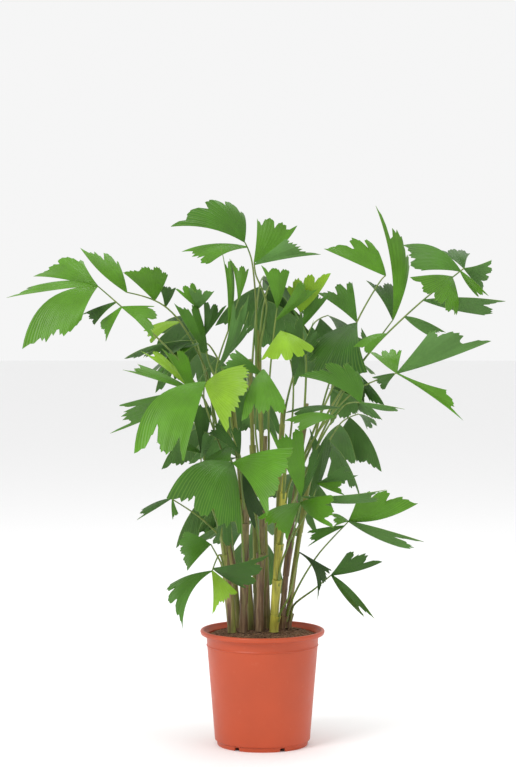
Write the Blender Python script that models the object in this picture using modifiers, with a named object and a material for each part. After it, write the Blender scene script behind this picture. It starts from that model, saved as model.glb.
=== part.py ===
# Potted fishtail palm: a clump of slender canes in a terracotta-coloured plastic pot.
# Units are metres and +Z is up. The plant's front faces -Y. The origin is on the floor,
# under the middle of the pot, where the pot's flat underside rests.

import itertools
import math
import random
from collections import namedtuple

import bmesh
import bpy
from mathutils import Matrix, Vector
from mathutils.bvhtree import BVHTree

CM = 0.01
CLEARANCE = 0.0003
NAME = "potted_fishtail_palm"

# Pot: a 24 cm container with a rolled rim, a step ring and a foot ring with drain notches.
RIM_RADIUS = 0.1200
POT_HEIGHT = 0.2240
BODY_TOP_RADIUS = 0.1085
BODY_FOOT_RADIUS = 0.0920
FOOT_RING_RADIUS = 0.0880
FOOT_RING_HEIGHT = 0.0095
RIM_BAND = 0.0100
STEP_RING_DROP = 0.0300
WALL = 0.0022
FLOOR_RISE = 0.0045
PAD_RADIUS = 0.0320
POT_SIDES = 28
NOTCH_COUNT = 6
NOTCH_WIDTH = 0.0130
NOTCH_HEIGHT = 0.0070
NOTCH_FIRST_ANGLE = -64.0

# Soil: its crown is flat under the canes and falls a little toward the wall.
SOIL_CROWN = 0.2190
SOIL_EDGE = 0.2110
SOIL_CROWN_RADIUS = 0.0800

# Canes: foot (x, y), top (x, y, z) and radius, in cm.
CANE_SIDES = 8
CANE_RINGS = 4
CANES = {
    "cane_left": ((-5.9, -1.2), (-8.2, -2.6, 46.0), 0.70),
    "cane_left_mid": ((-3.7, -0.4), (-2.7, -3.6, 56.0), 0.70),
    "cane_centre_left": ((-2.2, 2.6), (-6.2, 4.4, 70.0), 0.62),
    "cane_centre": ((-0.6, 0.4), (0.6, -3.0, 60.0), 0.70),
    "cane_centre_right": ((0.9, 3.4), (-1.0, 3.0, 80.0), 0.62),
    "cane_bright": ((2.2, -0.4), (4.3, -3.4, 54.0), 0.70),
    "cane_right": ((3.7, 1.8), (8.6, 0.6, 66.0), 0.58),
    "cane_rear_left": ((-4.7, 4.6), (-9.5, 9.0, 60.0), 0.65),
    "cane_rear": ((-1.0, 5.8), (-2.5, 11.0, 74.0), 0.62),
    "cane_rear_right": ((2.4, 5.9), (4.0, 11.5, 66.0), 0.62),
    "cane_far_right": ((4.9, 4.4), (10.0, 7.0, 56.0), 0.60),
}

# Widths and heights on the plant were taken from the front at this distance and eye height,
# so a point nearer the front than the pot's axis is drawn in to its real place.
SIGHT_DISTANCE = 5.04
SIGHT_HEIGHT = 1.01

# Fronds
STALK_RADIUS = 0.0021
STALK_TIP_RADIUS = 0.0016
STALK_BEVEL_STEPS = 0
SPAN_STEPS = 2
LEAF_ROOT = 0.0030
LEAF_THICKNESS = 0.0016
LEAF_THICKNESS_RATIO = 0.0105
TAIL_SHARE = 0.16
BODY_SHARE = 0.88
CURL = 0.07
CUP = 0.16
SMALL_LEAF = 0.085
LARGE_LEAF = 0.165
WIDE_SPREAD = 78.0
NARROW_SPREAD = 52.0
TEST_SWELL = 0.0009
STALK_SWELL = 0.0003

# A leaf grows from its frond's stalk: at counts along the stalk's points, and x, y, z is the
# tip of its long edge in cm. The blade fans out from that edge by spread degrees, anticlockwise
# where it is above zero, to a short edge of length short. The long edge bows outward by bow of its
# length, and tilt turns the blade about it.
Leaf = namedtuple("Leaf", "at x y z spread short bow tilt")

# Each frond: its cane, the height in cm where it leaves the cane, the points of its stalk in cm,
# and its leaves.
Frond = namedtuple("Frond", "cane height stalk leaves")

FRONDS = {
    "frond_far_left": Frond(
        "cane_centre_left",
        46.0,
        [(-11.0, -2.0, 66.5), (-17.8, -3.5, 76.3), (-27.0, -5.0, 84.6), (-31.6, -6.0, 88.6)],
        [
            Leaf(3.0, -46.0, -12.0, 76.3, 25, 0.45, 0.19, 20),
            Leaf(3.0, -49.1, -3.0, 86.8, -16, 0.80, 0.10, 62),
            Leaf(3.0, -44.3, 3.0, 90.9, -38, 0.45, 0.00, 10),
            Leaf(2.2, -34.5, -2.0, 83.0, 26, 0.80, 0.00, 20),
            Leaf(2.0, -20.6, -11.0, 78.2, 36, 0.80, -0.05, 15),
            Leaf(2.0, -30.2, -2.0, 78.0, -26, 0.75, 0.00, 10),
        ],
    ),
    "frond_left_upper": Frond(
        "cane_rear_left",
        54.0,
        [(-10.6, 6.0, 71.5), (-15.8, 5.5, 81.7), (-20.6, 5.0, 85.8), (-26.0, 4.0, 87.4)],
        [
            Leaf(3.0, -34.8, 6.0, 95.9, -30, 0.55, 0.08, 20),
            Leaf(2.0, -26.6, 2.0, 91.3, -80, 0.66, 0.00, 12),
            Leaf(1.6, -16.6, 8.0, 88.4, 50, 0.80, 0.00, 30),
            Leaf(1.0, -23.0, 10.0, 80.0, 30, 0.80, 0.05, 40),
        ],
    ),
    "frond_left_shoulder": Frond(
        "cane_centre_left",
        60.0,
        [(-10.2, 1.0, 73.8), (-11.4, 0.0, 80.2), (-12.3, -1.0, 84.4)],
        [
            Leaf(2.0, -16.6, -3.0, 88.2, -45, 0.80, 0.05, 20),
            Leaf(2.0, -9.3, -5.0, 87.8, 50, 0.90, 0.00, 25),
            Leaf(0.3, -16.6, -4.0, 85.3, -22, 0.80, 0.05, 15),
            Leaf(0.8, -6.9, 2.0, 85.0, 36, 0.95, 0.00, 20),
        ],
    ),
    "frond_top_left": Frond(
        "cane_centre_right",
        68.0,
        [(-1.2, 3.0, 84.0), (-2.0, 2.0, 93.2), (-3.4, 1.0, 97.0)],
        [
            Leaf(2.0, -17.4, -2.0, 100.3, -85, 0.40, -0.06, 20),
            Leaf(1.7, -15.5, 6.0, 95.0, 22, 0.60, 0.05, 30),
        ],
    ),
    "frond_spears": Frond(
        "cane_left_mid",
        50.0,
        [(-8.6, -4.0, 66.0), (-8.8, -5.0, 73.0), (-6.6, -4.0, 80.0), (-4.6, -3.0, 86.0)],
        [
            Leaf(2.0, -7.4, -2.0, 96.1, -10, 0.95, 0.03, 48),
            Leaf(3.0, -5.9, -1.0, 93.6, -28, 0.98, 0.00, 25),
            Leaf(0.9, -2.4, -8.0, 86.7, 11, 0.92, 0.05, 45),
            Leaf(1.1, -2.4, -4.0, 83.6, -13, 0.92, -0.04, 40),
        ],
    ),
    "frond_top": Frond(
        "cane_centre_right",
        74.0,
        [(0.8, -1.0, 85.0), (-1.2, -2.5, 90.5), (-1.6, -4.0, 93.2)],
        [
            Leaf(2.0, 6.6, -2.0, 100.3, 45, 0.76, 0.08, 15),
            Leaf(1.8, 11.0, -11.0, 94.6, 25, 0.62, -0.04, 25),
        ],
    ),
    "frond_crown_heart": Frond(
        "cane_centre",
        54.0,
        [(1.2, -2.0, 68.0), (2.0, -3.0, 78.0), (2.8, -3.0, 84.4)],
        [
            Leaf(2.0, -0.1, -5.0, 92.6, -40, 0.84, 0.00, 15),
            Leaf(1.6, 10.5, -1.0, 88.0, 24, 0.90, 0.00, 30),
        ],
    ),
    "frond_crown_right": Frond(
        "cane_right",
        60.0,
        [(8.4, 3.0, 74.0), (7.6, 2.0, 80.0), (7.2, 1.0, 83.6)],
        [
            Leaf(2.0, 13.0, 0.0, 91.1, 66, 0.56, 0.04, 15),
            Leaf(1.2, 12.8, 4.0, 87.0, 36, 0.90, 0.00, 20),
        ],
    ),
    "frond_upper_right": Frond(
        "cane_right",
        52.0,
        [(10.7, 2.0, 62.9), (14.9, 3.0, 72.5), (18.1, 4.0, 81.7), (22.2, 5.0, 89.0), (23.6, 5.5, 90.6)],
        [
            Leaf(2.0, 10.5, 6.0, 87.6, -45, 0.90, 0.00, 15),
            Leaf(4.0, 12.0, 4.0, 96.1, -50, 0.50, 0.04, 18),
            Leaf(2.0, 19.9, -8.0, 72.1, -103, 0.80, 0.00, 18),
        ],
    ),
    "frond_tall_right": Frond(
        "cane_far_right",
        52.0,
        [(16.0, 7.0, 69.0), (22.0, 8.0, 78.0), (25.0, 8.0, 82.1)],
        [
            Leaf(2.0, 21.8, 7.0, 104.0, -26, 0.50, -0.04, 14),
            Leaf(2.0, 20.2, 12.0, 90.0, -48, 0.90, 0.00, 35),
            Leaf(0.8, 18.9, 4.0, 80.5, 24, 0.85, 0.00, 20),
        ],
    ),
    "frond_far_right": Frond(
        "cane_right",
        46.0,
        [
            (13.0, -2.0, 65.0),
            (19.1, -2.0, 74.0),
            (23.8, -2.0, 79.4),
            (30.8, -3.0, 85.9),
            (36.4, -4.0, 90.3),
            (38.6, -4.0, 92.0),
        ],
        [
            Leaf(4.6, 26.6, 1.0, 96.3, 25, 0.66, 0.15, 15),
            Leaf(4.0, 28.7, -12.0, 90.4, 80, 0.68, 0.00, 15),
            Leaf(4.6, 43.1, -8.0, 86.5, -14, 0.80, 0.08, 40),
            Leaf(5.0, 33.5, 3.0, 95.6, -45, 0.60, 0.00, 25),
            Leaf(5.0, 42.2, -1.0, 87.8, 66, 0.84, 0.00, 20),
            Leaf(3.0, 46.6, -5.0, 85.7, -13, 0.90, 0.08, 35),
            Leaf(2.5, 35.2, -7.0, 79.6, -14, 0.85, 0.13, 42),
            Leaf(2.0, 17.6, -6.0, 77.0, 22, 0.90, 0.08, 25),
        ],
    ),
    "frond_right_middle": Frond(
        "cane_bright",
        46.0,
        [(11.0, -5.0, 61.0), (18.0, -8.0, 68.6), (25.8, -11.0, 71.9)],
        [
            Leaf(2.0, 43.7, -18.0, 77.9, 30, 0.55, 0.00, 18),
            Leaf(2.0, 38.5, -14.0, 62.7, 16, 0.66, -0.05, 25),
            Leaf(1.95, 21.0, -10.0, 71.0, 48, 0.85, 0.00, 20),
            Leaf(2.0, 20.6, -7.0, 76.0, -52, 0.75, 0.05, 22),
        ],
    ),
    "frond_right_inner": Frond(
        "cane_bright",
        38.0,
        [(7.6, -8.0, 51.0), (11.4, -10.0, 59.4), (15.6, -12.0, 65.6), (18.9, -13.0, 66.2)],
        [
            Leaf(3.0, 7.2, -15.0, 71.5, -75, 0.36, -0.05, 20),
            Leaf(1.9, 4.1, -12.0, 64.4, 12, 0.80, 0.05, 52),
            Leaf(1.6, 4.2, -18.0, 62.6, 15, 0.85, 0.06, 30),
            Leaf(3.0, 27.2, -16.0, 64.6, -6, 0.80, 0.10, 50),
        ],
    ),
    "frond_left_front": Frond(
        "cane_left_mid",
        42.0,
        [(-9.0, -7.0, 60.0), (-11.2, -11.0, 66.7), (-11.0, -13.0, 70.2)],
        [
            Leaf(2.0, -24.6, -22.0, 56.7, 27, 0.98, 0.20, 18),
            Leaf(1.9, -6.6, -24.0, 60.4, 74, 0.62, 0.00, 18),
            Leaf(1.6, -29.4, -13.0, 60.4, -14, 0.85, 0.05, 12),
        ],
    ),
    "frond_left_inner": Frond(
        "cane_left",
        42.0,
        [(-11.6, -3.0, 57.0), (-13.2, -4.0, 64.0), (-13.2, -4.0, 68.4)],
        [
            Leaf(2.0, -26.8, -4.0, 72.7, -9, 0.85, 0.03, 25),
            Leaf(2.0, -23.3, 0.0, 76.5, -10, 0.85, 0.02, 25),
            Leaf(1.6, -19.3, -8.0, 76.7, -24, 0.80, 0.00, 25),
            Leaf(1.2, -19.7, -6.0, 60.0, 26, 0.85, 0.05, 20),
        ],
    ),
    "frond_left_low": Frond(
        "cane_left",
        36.0,
        [(-11.4, -3.5, 51.0), (-11.8, -5.0, 56.5)],
        [
            Leaf(1.0, -14.2, -6.0, 67.0, -28, 0.92, 0.00, 20),
            Leaf(1.0, -15.8, -8.0, 57.2, -24, 0.80, 0.00, 20),
            Leaf(0.8, -8.4, -7.0, 61.0, 20, 0.80, 0.00, 20),
        ],
    ),
    "frond_front_fan": Frond(
        "cane_left_mid",
        33.0,
        [(-4.6, -9.0, 47.0), (-5.8, -13.0, 54.6)],
        [
            Leaf(1.0, -18.2, -26.0, 47.9, 54, 1.02, 0.15, 14),
            Leaf(1.0, 1.0, -27.0, 44.4, 52, 0.80, -0.06, 14),
            Leaf(0.9, -5.9, -14.0, 36.0, -14, 0.85, 0.00, 25),
        ],
    ),
    "frond_front_dark": Frond(
        "cane_centre",
        36.0,
        [(-2.6, -8.0, 49.0), (-4.4, -10.0, 56.4)],
        [
            Leaf(0.6, -1.2, -11.0, 41.6, 16, 0.90, 0.05, 20),
            Leaf(1.0, -11.2, -12.0, 60.8, -26, 0.90, 0.00, 25),
            Leaf(1.0, -6.4, -9.0, 62.0, -22, 0.90, 0.00, 20),
        ],
    ),
    "frond_centre_front": Frond(
        "cane_centre",
        48.0,
        [(-1.4, -9.0, 62.0), (0.2, -13.0, 72.6)],
        [
            Leaf(1.0, -3.9, -22.0, 63.0, 42, 1.00, 0.06, 14),
            Leaf(0.9, -8.4, -14.0, 73.0, -36, 0.85, 0.00, 18),
        ],
    ),
    "frond_centre_round": Frond(
        "cane_bright",
        48.0,
        [(5.6, -8.0, 62.0), (5.8, -10.0, 72.0), (3.6, -12.0, 80.0)],
        [
            Leaf(2.0, -0.2, -17.0, 74.2, 88, 0.90, 0.00, 14),
            Leaf(0.9, 7.5, -11.0, 84.0, 16, 0.88, 0.04, 25),
            Leaf(1.2, 10.2, -6.0, 82.0, -22, 0.85, 0.00, 30),
        ],
    ),
    "frond_low_left_tip": Frond(
        "cane_rear_left",
        36.0,
        [(-12.0, 3.0, 44.0), (-17.6, 1.0, 47.7)],
        [
            Leaf(1.0, -24.3, 0.0, 43.7, -14, 0.85, 0.08, 45),
            Leaf(0.95, -17.2, -1.0, 43.6, 18, 1.00, 0.00, 25),
        ],
    ),
    "frond_low_left": Frond(
        "cane_left",
        29.0,
        [(-8.2, -7.0, 36.8), (-9.7, -10.0, 33.7)],
        [
            Leaf(1.0, -15.6, -17.0, 22.6, -48, 0.66, -0.12, 15),
            Leaf(1.0, -9.6, -16.0, 25.4, 40, 0.78, -0.05, 15),
            Leaf(0.9, 1.2, -14.0, 36.6, -45, 0.62, 0.00, 15),
        ],
    ),
    "frond_low_left_back": Frond(
        "cane_left",
        33.5,
        [(-10.0, -4.0, 38.9)],
        [
            Leaf(0.0, -14.6, -8.0, 33.7, -82, 0.72, 0.00, 15),
        ],
    ),
    "frond_low_heart": Frond(
        "cane_bright",
        31.0,
        [(6.2, -8.0, 42.0), (7.6, -11.0, 48.1)],
        [
            Leaf(1.0, 12.2, -11.0, 58.7, 14, 0.85, 0.00, 25),
            Leaf(1.0, 23.9, -18.0, 49.2, -10, 0.90, 0.03, 45),
            Leaf(1.0, 1.4, -15.0, 61.0, -27, 0.92, 0.03, 15),
            Leaf(0.8, 4.6, -20.0, 39.7, -48, 0.80, 0.00, 15),
            Leaf(0.8, 13.9, -19.0, 42.1, 34, 0.80, 0.05, 15),
        ],
    ),
    "frond_low_heart_back": Frond(
        "cane_right",
        38.0,
        [(9.0, -2.0, 46.0), (10.6, -3.0, 50.6)],
        [
            Leaf(0.4, 9.4, -4.0, 61.2, -24, 0.90, 0.00, 25),
            Leaf(1.0, 18.4, -5.0, 52.3, 22, 0.80, 0.04, 25),
            Leaf(1.0, 15.8, -7.0, 48.4, 22, 0.90, 0.00, 25),
        ],
    ),
    "frond_low_right": Frond(
        "cane_right",
        23.6,
        [(7.2, -2.0, 31.2), (11.0, -4.0, 37.2), (16.6, -6.0, 43.3)],
        [
            Leaf(2.0, 29.9, -8.0, 46.7, 52, 0.36, 0.06, 15),
            Leaf(2.0, 31.2, -13.0, 39.3, -10, 0.88, 0.07, 38),
            Leaf(2.0, 13.6, -11.0, 42.4, -32, 0.80, 0.00, 20),
            Leaf(1.85, 8.6, -8.0, 38.5, -20, 0.90, 0.00, 15),
        ],
    ),
    "frond_low_right_tip": Frond(
        "cane_far_right",
        23.6,
        [(9.7, -4.0, 29.9), (13.3, -7.0, 32.9)],
        [
            Leaf(1.0, 23.1, -9.0, 35.6, 38, 0.56, 0.02, 18),
            Leaf(1.0, 21.2, -12.0, 24.1, -7, 0.85, 0.13, 40),
        ],
    ),
    "frond_low_front": Frond(
        "cane_bright",
        24.0,
        [(5.2, -3.0, 29.0), (7.1, -5.0, 37.3)],
        [
            Leaf(1.0, 10.6, -10.0, 28.1, 36, 0.76, -0.18, 20),
        ],
    ),
    "frond_lowest": Frond(
        "cane_right",
        23.0,
        [(4.5, -2.5, 27.6)],
        [
            Leaf(0.0, 2.4, -3.5, 32.0, 44, 0.85, 0.10, 20),
            Leaf(0.0, -1.2, -5.5, 25.4, -34, 0.80, 0.08, 20),
        ],
    ),
}

# The fronds behind, which fill the clump out: cane, height of the joint in cm, heading in degrees
# (0 is right, 90 is straight back), reach and rise in cm, and the number of leaves.
Spray = namedtuple("Spray", "cane height heading reach rise count")

SPRAYS = {
    "frond_back_top": Spray("cane_rear", 68.0, 80, 15.0, 22.0,4),
    "frond_back_left_top": Spray("cane_rear_left", 57.0, 118, 16.0, 25.0,4),
    "frond_back_right_top": Spray("cane_rear_right", 60.0, 60, 19.0, 22.0,4),
    "frond_back_right": Spray("cane_far_right", 46.0, 62, 24.0, 16.0,4),
    "frond_back_left": Spray("cane_rear_left", 48.0, 112, 22.0, 13.0,4),
    "frond_back": Spray("cane_rear", 56.0, 94, 26.0, 14.0,4),
    "frond_back_low_left": Spray("cane_rear_left", 40.0, 104, 23.0, 8.0, 4),
    "frond_back_low_right": Spray("cane_rear_right", 42.0, 78, 25.0, 9.0, 4),
    "frond_back_low": Spray("cane_rear", 34.0, 92, 19.0, 8.0, 4),
    "frond_heart_left": Spray("cane_centre_left", 66.0, 196, 7.0, 12.0, 4),
    "frond_heart_right": Spray("cane_far_right", 54.0, 30, 8.0, 20.0, 4),
    "frond_heart_top": Spray("cane_centre_right", 77.0, 60, 6.0, 12.0, 4),
    "frond_heart_front": Spray("cane_centre", 58.0, -80, 5.0, 16.0, 4),
    "frond_heart_low_left": Spray("cane_left_mid", 46.0, 215, 5.0, 14.0, 4),
}
SPRAY_SEED = 41
LEAF_LENGTHS = (11.0, 17.0)
LEAF_SPREADS = (30.0, 66.0)
LEAF_SHORTS = (0.55, 0.85)
LEAF_DROOPS = (15.0, 62.0)
LEAF_TILTS = (8.0, 40.0)
LEAF_SWINGS = (38.0, 66.0)

# Small changes tried, in this order, until a leaf is clear of everything already in place: the
# shift of its tip in depth in cm, the change of tilt in degrees, and the share of its length kept.
NUDGES = [
    (0.0, 0.0, 1.0),
    (0.0, 14.0, 1.0),
    (0.0, -14.0, 1.0),
    (-2.5, 0.0, 1.0),
    (2.5, 0.0, 1.0),
    (-2.5, 16.0, 1.0),
    (2.5, -16.0, 1.0),
    (-5.0, 8.0, 1.0),
    (5.0, -8.0, 1.0),
    (-5.0, -20.0, 1.0),
    (5.0, 20.0, 1.0),
    (-8.0, 0.0, 1.0),
    (8.0, 0.0, 1.0),
    (-3.0, 10.0, 0.85),
    (3.0, -10.0, 0.85),
    (-8.0, 24.0, 0.9),
    (8.0, 24.0, 0.9),
    (-12.0, 0.0, 0.95),
    (12.0, 0.0, 0.95),
]
# Changes tried for a stalk: its inner points move by x, y in cm, and its root turns about the cane
# by an angle in degrees. STALK_SEATS are the shares of a gap tried between the root and its cane.
STALK_SEATS = (0.0, 0.0003, 0.0006, 0.0009, 0.0012, 0.0015)
STALK_SHIFTS = [
    (0.0, 0.0, 0.0),
    (0.0, 0.0, 45.0),
    (0.0, 0.0, -45.0),
    (0.0, -1.5, 20.0),
    (0.0, 1.5, -20.0),
    (1.2, 0.0, 0.0),
    (-1.2, 0.0, 0.0),
    (0.0, -3.0, 45.0),
    (0.0, 3.0, -45.0),
    (0.0, 0.0, 90.0),
    (0.0, 0.0, -90.0),
    (1.2, -2.5, 60.0),
    (-1.2, 2.5, -60.0),
    (2.2, 2.0, 0.0),
    (-2.2, -2.0, 0.0),
    (0.0, -5.0, 0.0),
    (0.0, 5.0, 0.0),
]

POT_COLOUR = (0.560, 0.095, 0.028)
SOIL_COLOUR = (0.070, 0.032, 0.014)
CANE_COLOUR = (0.215, 0.185, 0.045)
LEAF_COLOURS = {
    "leaf_bright": (0.130, 0.320, 0.012),
    "leaf_mid": (0.060, 0.190, 0.010),
    "leaf_deep": (0.020, 0.090, 0.008),
}


def clear_scene():
    for thing in list(bpy.data.objects):
        bpy.data.objects.remove(thing)
    for mesh in list(bpy.data.meshes):
        bpy.data.meshes.remove(mesh)


def new_collection(name):
    group = bpy.data.collections.new(name)
    bpy.context.scene.collection.children.link(group)
    return group


def new_material(name, colour, roughness):
    material = bpy.data.materials.new(name)
    material.use_nodes = True
    shader = material.node_tree.nodes["Principled BSDF"]
    shader.inputs["Base Color"].default_value = (*colour, 1.0)
    shader.inputs["Roughness"].default_value = roughness
    shader.inputs["Metallic"].default_value = 0.0
    return material


def new_object(name, bm, group, material=None):
    mesh = bpy.data.meshes.new(name)
    bmesh.ops.recalc_face_normals(bm, faces=bm.faces)
    bm.to_mesh(mesh)
    bm.free()
    thing = bpy.data.objects.new(name, mesh)
    group.objects.link(thing)
    if material:
        mesh.materials.append(material)
    return thing


def bake(thing):
    # The object's mesh with its modifiers applied.
    graph = bpy.context.evaluated_depsgraph_get()
    graph.update()
    mesh = bpy.data.meshes.new_from_object(thing.evaluated_get(graph))
    old = thing.data
    thing.modifiers.clear()
    thing.data = mesh
    if old.users == 0:
        bpy.data.meshes.remove(old)


def seen(x, y, z):
    # The real place, in metres, of a point seen from the front at width x and height z, in cm,
    # which lies at depth y.
    reach = 1.0 + y * CM / SIGHT_DISTANCE
    return Vector((x * CM * reach, y * CM, SIGHT_HEIGHT + (z * CM - SIGHT_HEIGHT) * reach))


def turned(name, profile, sides, group, material):
    # A turned solid from a profile (radius, height), listed from the top outer edge downward.
    bm = bmesh.new()
    ring = [bm.verts.new((radius, 0.0, height)) for radius, height in profile]
    for first, second in zip(ring, ring[1:]):
        bm.edges.new((first, second))
    mesh = bpy.data.meshes.new(name)
    bm.to_mesh(mesh)
    bm.free()
    thing = bpy.data.objects.new(name, mesh)
    group.objects.link(thing)
    screw = thing.modifiers.new("turn", "SCREW")
    screw.steps = sides
    screw.render_steps = sides
    screw.use_merge_vertices = True
    screw.merge_threshold = 0.00002
    mesh.materials.append(material)
    bake(thing)
    thing.data.shade_smooth()
    thing.data.set_sharp_from_angle(angle=math.radians(32.0))
    return thing


def wall_radius(height):
    # The body's outer radius, which narrows evenly from the rim band to the foot.
    share = (height - FOOT_RING_HEIGHT) / (POT_HEIGHT - RIM_BAND - FOOT_RING_HEIGHT)
    return BODY_FOOT_RADIUS + (BODY_TOP_RADIUS - BODY_FOOT_RADIUS) * share


def build_pot(group, cutters, material):
    band_foot = POT_HEIGHT - RIM_BAND
    step = POT_HEIGHT - STEP_RING_DROP
    lip = 0.0022
    ring = 0.0014
    inside_foot = FLOOR_RISE + WALL
    profile = [
        (RIM_RADIUS - lip, POT_HEIGHT),
        (RIM_RADIUS - 0.0006, POT_HEIGHT - 0.0012),
        (RIM_RADIUS, POT_HEIGHT - 0.0035),
        (RIM_RADIUS - 0.0012, band_foot + 0.0015),
        (RIM_RADIUS - 0.0026, band_foot),
        (wall_radius(band_foot) + 0.0012, band_foot - 0.0004),
        (wall_radius(band_foot - 0.004), band_foot - 0.0040),
        (wall_radius(step) + ring, step),
        (wall_radius(step - 0.0015) + 0.0002, step - 0.0022),
        (wall_radius(FOOT_RING_HEIGHT + 0.006), FOOT_RING_HEIGHT + 0.0060),
        (BODY_FOOT_RADIUS, FOOT_RING_HEIGHT),
        (FOOT_RING_RADIUS, FOOT_RING_HEIGHT - 0.0012),
        (FOOT_RING_RADIUS - 0.0006, 0.0),
        (FOOT_RING_RADIUS - 0.0040, 0.0),
        (FOOT_RING_RADIUS - 0.0050, FLOOR_RISE),
        (PAD_RADIUS + 0.0060, FLOOR_RISE),
        (PAD_RADIUS, 0.0),
        (0.0, 0.0),
        (0.0, inside_foot),
        (FOOT_RING_RADIUS - 0.0080, inside_foot),
        (BODY_FOOT_RADIUS - WALL, FOOT_RING_HEIGHT + 0.0030),
        (wall_radius(step) - WALL, step),
        (wall_radius(band_foot) - WALL, band_foot),
        (RIM_RADIUS - lip - 0.0075, POT_HEIGHT - 0.0030),
        (RIM_RADIUS - lip - 0.0048, POT_HEIGHT - 0.0003),
        (RIM_RADIUS - lip, POT_HEIGHT),
    ]
    pot = turned("pot", profile, POT_SIDES, group, material)
    for index in range(NOTCH_COUNT):
        angle = math.radians(NOTCH_FIRST_ANGLE + index * 360.0 / NOTCH_COUNT)
        bm = bmesh.new()
        bmesh.ops.create_cube(bm, size=1.0)
        for vert in bm.verts:
            narrow = 0.72 if vert.co.z > 0.0 else 1.0
            vert.co.y *= NOTCH_WIDTH * narrow
            vert.co.x *= 0.016
            vert.co.z = NOTCH_HEIGHT if vert.co.z > 0.0 else -0.003
        turn = Matrix.Rotation(angle, 4, "Z") @ Matrix.Translation((FOOT_RING_RADIUS, 0.0, 0.0))
        bmesh.ops.transform(bm, matrix=turn, verts=bm.verts)
        cutter = new_object(f"drain_notch_{index + 1}", bm, cutters)
        cutter.hide_render = True
        cutter.display_type = "WIRE"
        cut = pot.modifiers.new(cutter.name, "BOOLEAN")
        cut.operation = "DIFFERENCE"
        cut.object = cutter
    return pot


def build_soil(group, material):
    inside_foot = FLOOR_RISE + WALL + CLEARANCE
    gap = WALL + CLEARANCE + 0.0002
    step = POT_HEIGHT - STEP_RING_DROP
    profile = [
        (0.0, SOIL_CROWN),
        (SOIL_CROWN_RADIUS, SOIL_CROWN),
        (wall_radius(SOIL_EDGE) - gap, SOIL_EDGE),
        (wall_radius(step) - gap, step),
        (BODY_FOOT_RADIUS - gap, FOOT_RING_HEIGHT + 0.0035),
        (FOOT_RING_RADIUS - 0.0090, inside_foot),
        (0.0, inside_foot),
    ]
    return turned("soil", profile, POT_SIDES, group, material)


def cane_point(cane, height):
    # A cane's middle at a height in metres. It starts upright and leans more toward the top.
    foot, top, _ = CANES[cane]
    share = (height - SOIL_CROWN) / (top[2] * CM - SOIL_CROWN)
    bend = share ** 1.25 if share > 0.0 else 0.0
    x = foot[0] + (top[0] - foot[0]) * bend
    y = foot[1] + (top[1] - foot[1]) * bend
    return Vector((x * CM, y * CM, height))


def cane_radius(cane, height):
    _, top, radius = CANES[cane]
    share = (height - SOIL_CROWN) / (top[2] * CM - SOIL_CROWN)
    return radius * CM * (1.18 - 0.62 * min(max(share, 0.0), 1.0))


def tube(points, radii, bevel_steps):
    # A closed tube along a list of points, as a bmesh.
    curve = bpy.data.curves.new("tube", "CURVE")
    curve.dimensions = "3D"
    curve.bevel_depth = 1.0
    curve.bevel_resolution = bevel_steps
    curve.use_fill_caps = True
    spline = curve.splines.new("POLY")
    spline.points.add(len(points) - 1)
    for spot, place, radius in zip(spline.points, points, radii):
        spot.co = (*place, 1.0)
        spot.radius = radius
    holder = bpy.data.objects.new("tube", curve)
    bpy.context.scene.collection.objects.link(holder)
    graph = bpy.context.evaluated_depsgraph_get()
    mesh = bpy.data.meshes.new_from_object(holder.evaluated_get(graph))
    bm = bmesh.new()
    bm.from_mesh(mesh)
    bmesh.ops.remove_doubles(bm, verts=bm.verts, dist=0.00001)
    bpy.data.objects.remove(holder)
    bpy.data.curves.remove(curve)
    bpy.data.meshes.remove(mesh)
    return bm


def smooth_path(points, steps):
    # A smooth line through the points, with the given number of steps in each span.
    ends = [points[0] * 2 - points[1], *points, points[-1] * 2 - points[-2]]
    path = []
    for index in range(len(points) - 1):
        before, start, end, after = ends[index : index + 4]
        for step in range(steps):
            share = step / steps
            path.append(along(before, start, end, after, share))
    path.append(points[-1])
    return path


def along(before, start, end, after, share):
    rise = (end - before) * 0.5
    fall = (after - start) * 0.5
    square = share * share
    cube = square * share
    return (
        start * (2 * cube - 3 * square + 1)
        + rise * (cube - 2 * square + share)
        + end * (3 * square - 2 * cube)
        + fall * (cube - square)
    )


def path_at(path, place):
    # The point of a stalk's line at a count along the points that the line was drawn through.
    spot = min(place * SPAN_STEPS, len(path) - 1.0)
    index = min(int(spot), len(path) - 2)
    return path[index].lerp(path[index + 1], spot - index)


def blade_frame(root, tip, tilt, faces_up):
    # The long edge's direction, the blade's normal and the direction across it.
    edge = (tip - root).normalized()
    face = Vector((0.0, 0.0, 1.0)) if faces_up else Vector((0.0, -1.0, 0.12))
    if abs(edge.dot(face)) > 0.96:
        face = Vector((0.3, -0.4, 0.6))
    normal = (face - edge * face.dot(edge)).normalized()
    normal = Matrix.Rotation(math.radians(tilt), 3, edge) @ normal
    return edge, normal, normal.cross(edge)


def end_ratio(short, across):
    # How far the blade reaches, as a share of its long edge: a drawn-out tail at the long edge,
    # then an outer edge that falls to the short one.
    inward = min(max(across, 0.0), 1.0)
    body = BODY_SHARE * (1.0 - (1.0 - min(short / BODY_SHARE, 1.0)) * inward ** 1.6)
    tail = max(0.0, 1.0 - inward / TAIL_SHARE)
    return body + (1.0 - body) * tail


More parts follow.
